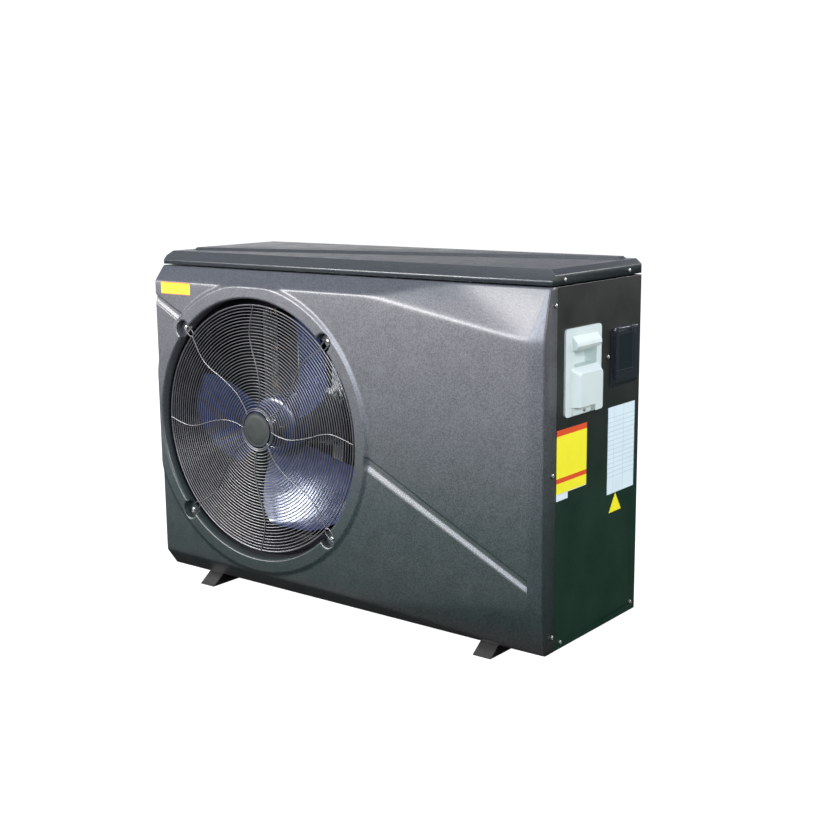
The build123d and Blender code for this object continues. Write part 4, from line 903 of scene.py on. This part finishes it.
def at_radius(radius):
    for low, high in zip(sections, sections[1:]):
        if radius <= high[0]:
            share = (radius - low[0]) / (high[0] - low[0])
            return [a + (b - a) * share for a, b in zip(low[1:], high[1:])]
    return list(sections[-1][1:])


fan_parts = []
ROWS, COLUMNS = 40, 36
for turn in (-72, 48, 168):
    grid = []
    for side in (-1, 1):
        for row in range(ROWS + 1):
            radius = 56 + 190.0 * row / ROWS
            chord, pitch, swept = at_radius(radius)
            for column in range(COLUMNS + 1):
                v = column / COLUMNS - 0.5
                round_off = 1 - 0.10 * smoothstep(0.75, 1, row / ROWS) * (2 * v) ** 2
                angle = radians(turn + swept) + v * chord * cos(radians(pitch)) / radius
                camber = 5.0 * (1 - (2 * v) ** 2) * smoothstep(0, 0.4, row / ROWS)
                y = HUB_MIDDLE + v * chord * sin(radians(pitch)) - camber + 2
                # Thick in the middle and thin at the edges.
                half = 1.6 * (1 - 0.75 * abs(2 * v) ** 4) * side
                grid.append(at(FAN_X + radius * round_off * cos(angle), y + half,
                               FAN_Z + radius * round_off * sin(angle)))
    count = (ROWS + 1) * (COLUMNS + 1)
    faces = []
    for row in range(ROWS):
        for column in range(COLUMNS):
            a = row * (COLUMNS + 1) + column
            b = a + COLUMNS + 1
            faces.append((a, a + 1, b + 1, b))
            faces.append((count + a, count + b, count + b + 1, count + a + 1))
    for row in range(ROWS):
        for column, flip in ((0, False), (COLUMNS, True)):
            a = row * (COLUMNS + 1) + column
            b = a + COLUMNS + 1
            quad = (a, b, count + b, count + a)
            faces.append(quad[::-1] if flip else quad)
    for column in range(COLUMNS):
        for row, flip in ((0, True), (ROWS, False)):
            a = row * (COLUMNS + 1) + column
            quad = (a, a + 1, count + a + 1, count + a)
            faces.append(quad if flip else quad[::-1])
    fan_parts.append((grid, faces))
hub_profile = [(HUB_R - 4, 122), (HUB_R, 121), (HUB_R, 66), (HUB_R - 1.5, 61), (HUB_R - 6, 58.4),
               (46, 58), (44, 59), (42, 62), (30, 63.5), (20, 63), (17, 60), (14, 58.2), (11, 58),
               (7, 58), (7, 80), (HUB_R - 6, 82), (HUB_R - 4, 90)]
fan_parts.append(lathe(at(FAN_X, 0, FAN_Z), (0, 1, 0), [(r * MM, y * MM) for r, y in hub_profile],
                       96, True))
for rib in range(12):
    turn = 2 * pi * rib / 12
    points = [at(FAN_X + r * cos(turn), 60.5, FAN_Z + r * sin(turn)) for r in (18, 30, 45)]
    fan_parts.append(tube(points, 1.8 * MM, 8))
vertices, faces = join(fan_parts)
piece("fan_rotor", vertices, faces, "fan_plastic", body="fan", replaces=["fan_blades"], sharp=40)

# ---- Rear guard: crossed wires ----
bars = []
x_low, x_high, z_low, z_high = 27.2, 600.8, 27.8, 677.2
for i in range(13):
    x = x_low + (x_high - x_low) * i / 12
    bars.append(tube([at(x, 357.6, z_low), at(x, 357.6, z_high)], 1.5 * MM, 8))
for i in range(27):
    z = z_low + (z_high - z_low) * i / 26
    bars.append(tube([at(x_low, 359.6, z), at(x_high, 359.6, z)], 1.3 * MM, 8))
vertices, faces = join(bars)
piece("rear_guard_wires", vertices, faces, "wire_guard", replaces=["rear_guard"])

# ---- Evaporator: wavy fins close together ----
fins = []
for index in range(206):
    x = 62 + index * 2.4
    grid, faces = [], []
    for row in range(9):
        y = 318 + 24 * row / 8
        wave = 0.35 if row % 2 else -0.35
        grid += [at(x + wave, y, 20), at(x + wave, y, 660), at(x + wave + 0.2, y, 20),
                 at(x + wave + 0.2, y, 660)]
    for row in range(8):
        a, b = row * 4, row * 4 + 4
        faces += [(a, a + 1, b + 1, b), (a + 2, b + 2, b + 3, a + 3), (a, b, b + 2, a + 2),
                  (a + 1, a + 3, b + 3, b + 1)]
    faces += [(0, 2, 3, 1), (32, 33, 35, 34)]
    fins.append((grid, faces))
vertices, faces = join(fins)
piece("evaporator_fin_stack", vertices, faces, "fin_aluminium", replaces=["evaporator_fins"],
      smooth=False)


# ---- Rounded edges on folded sheet and moulded nodes ----
def round_edges(name, width, angle=32):
    node = nodes[name]
    weld = node.modifiers.new("weld", "WELD")
    weld.merge_threshold = 0.00002
    bevel = node.modifiers.new("round", "BEVEL")
    bevel.width = width * MM
    bevel.segments = 2
    bevel.limit_method = "ANGLE"
    bevel.angle_limit = radians(angle)


for name, width in (("grip_plate", 0.9), ("wiring_cover", 0.5), ("controller_lid", 0.5),
                    ("controller_housing", 0.8), ("left_foot", 0.5), ("right_foot", 0.5),
                    ("right_side_panel", 0.5), ("left_side_panel", 0.5)):
    round_edges(name, width)


# ---- Camera ----
AZIMUTH, ELEVATION, ROLL = radians(37.42), radians(11.12), radians(-0.5)
back = Vector((sin(AZIMUTH) * cos(ELEVATION), -cos(AZIMUTH) * cos(ELEVATION), sin(ELEVATION)))
right = (-back).cross(Vector((0, 0, 1))).normalized()
upward = right.cross(-back)
rolled_right = right * cos(ROLL) + upward * sin(ROLL)
rolled_up = -right * sin(ROLL) + upward * cos(ROLL)
camera_data = bpy.data.cameras.new("camera")
camera_data.lens = 57.08
camera_data.sensor_width = 36
camera_data.clip_start = 0.05
camera_data.clip_end = 2000
camera = bpy.data.objects.new("camera", camera_data)
scene.collection.objects.link(camera)
camera.matrix_world = Matrix.Translation(at(2236.8, -1971.3, 906.9)) @ Matrix(
    (rolled_right, rolled_up, back)).transposed().to_4x4()
scene.camera = camera

# ---- Floor, sky and lights ----
def flat_square(name, half, z, look):
    mesh = bpy.data.meshes.new(name)
    mesh.from_pydata([(-half, -half, z), (half, -half, z), (half, half, z), (-half, half, z)], [],
                     [(0, 1, 2, 3)])
    mesh.materials.append(look)
    made = bpy.data.objects.new(name, mesh)
    scene.collection.objects.link(made)
    return made


floor_look = material("pale_floor", (0.30, 0.30, 0.30), rough=0.8, mottle=0.01, grain=0.01,
                      grain_depth=0.00002, specular=0.0, glow=0.97)
ground = flat_square("floor", 400, cad_low.z - 0.0005, floor_look)
ground.visible_glossy = False
ground.visible_diffuse = False
# A dark green flag on the ground, which only the object sees, as a lawn in front of it.
lawn_look = material("lawn", (0.012, 0.045, 0.022), rough=0.9, mottle=0.3, mottle_size=0.3)
lawn = flat_square("lawn_flag", 2.6, cad_low.z - 0.001, lawn_look)
lawn.visible_camera = False
lawn.visible_shadow = False

world = bpy.data.worlds.new("sky")
scene.world = world
world.use_nodes = True
sky = world.node_tree
background = sky.nodes["Background"]
direction = sky.nodes.new("ShaderNodeTexCoord").outputs["Generated"]
split = sky.nodes.new("ShaderNodeSeparateXYZ")
sky.links.new(direction, split.inputs[0])
height = sky.nodes.new("ShaderNodeMapRange")
height.inputs["From Min"].default_value = -1
height.inputs["From Max"].default_value = 1
sky.links.new(split.outputs["Z"], height.inputs["Value"])
ramp = sky.nodes.new("ShaderNodeValToRGB")
stops = [(0.0, (0.012, 0.035, 0.022)), (0.46, (0.03, 0.07, 0.05)), (0.487, (0.12, 0.16, 0.14)),
         (0.495, (1.05, 1.05, 1.05)), (0.597, (1.05, 1.05, 1.05)), (0.625, (0.30, 0.31, 0.36)),
         (0.74, (0.25, 0.27, 0.34)), (1.0, (0.12, 0.14, 0.20))]
while len(ramp.color_ramp.elements) > 1:
    ramp.color_ramp.elements.remove(ramp.color_ramp.elements[0])
ramp.color_ramp.elements[0].position = stops[0][0]
ramp.color_ramp.elements[0].color = (*stops[0][1], 1)
for position, colour in stops[1:]:
    element = ramp.color_ramp.elements.new(position)
    element.color = (*colour, 1)
sky.links.new(height.outputs["Result"], ramp.inputs["Fac"])
sky.links.new(ramp.outputs["Color"], background.inputs["Color"])
background.inputs["Strength"].default_value = 1.0


def area_light(name, spot, aim, size, power, colour=(1, 1, 1)):
    data = bpy.data.lights.new(name, "AREA")
    data.shape = "RECTANGLE"
    data.size, data.size_y = size
    data.energy = power
    data.color = colour
    made = bpy.data.objects.new(name, data)
    scene.collection.objects.link(made)
    made.location = spot
    made.rotation_euler = (Vector(aim) - Vector(spot)).to_track_quat("-Z", "Y").to_euler()
    made.visible_camera = False
    return made


area_light("key", (-3.2, -4.5, 1.95), (0.1, 0, 0.5), (2.4, 1.5), 380, (1, 0.985, 0.985))
area_light("front_right", (4.2, -1.6, 2.3), (0.5, 0, 0.45), (1.8, 1.8), 150, (0.99, 0.99, 1))
area_light("overhead", (0.2, 0.4, 4.2), (0, 0, 0.3), (3.5, 3.5), 50, (0.9, 0.94, 1))
area_light("fan_sky", (-0.3, -5.2, 2.0), (-0.2, 0, 0.35), (1.5, 1.0), 190, (0.80, 0.86, 1))

area_light("rear", (3.2, 4.4, 2.6), (0, 0, 0.4), (2.4, 1.6), 120, (0.97, 0.98, 1))

scene.view_settings.view_transform = "Standard"
scene.view_settings.look = "None"
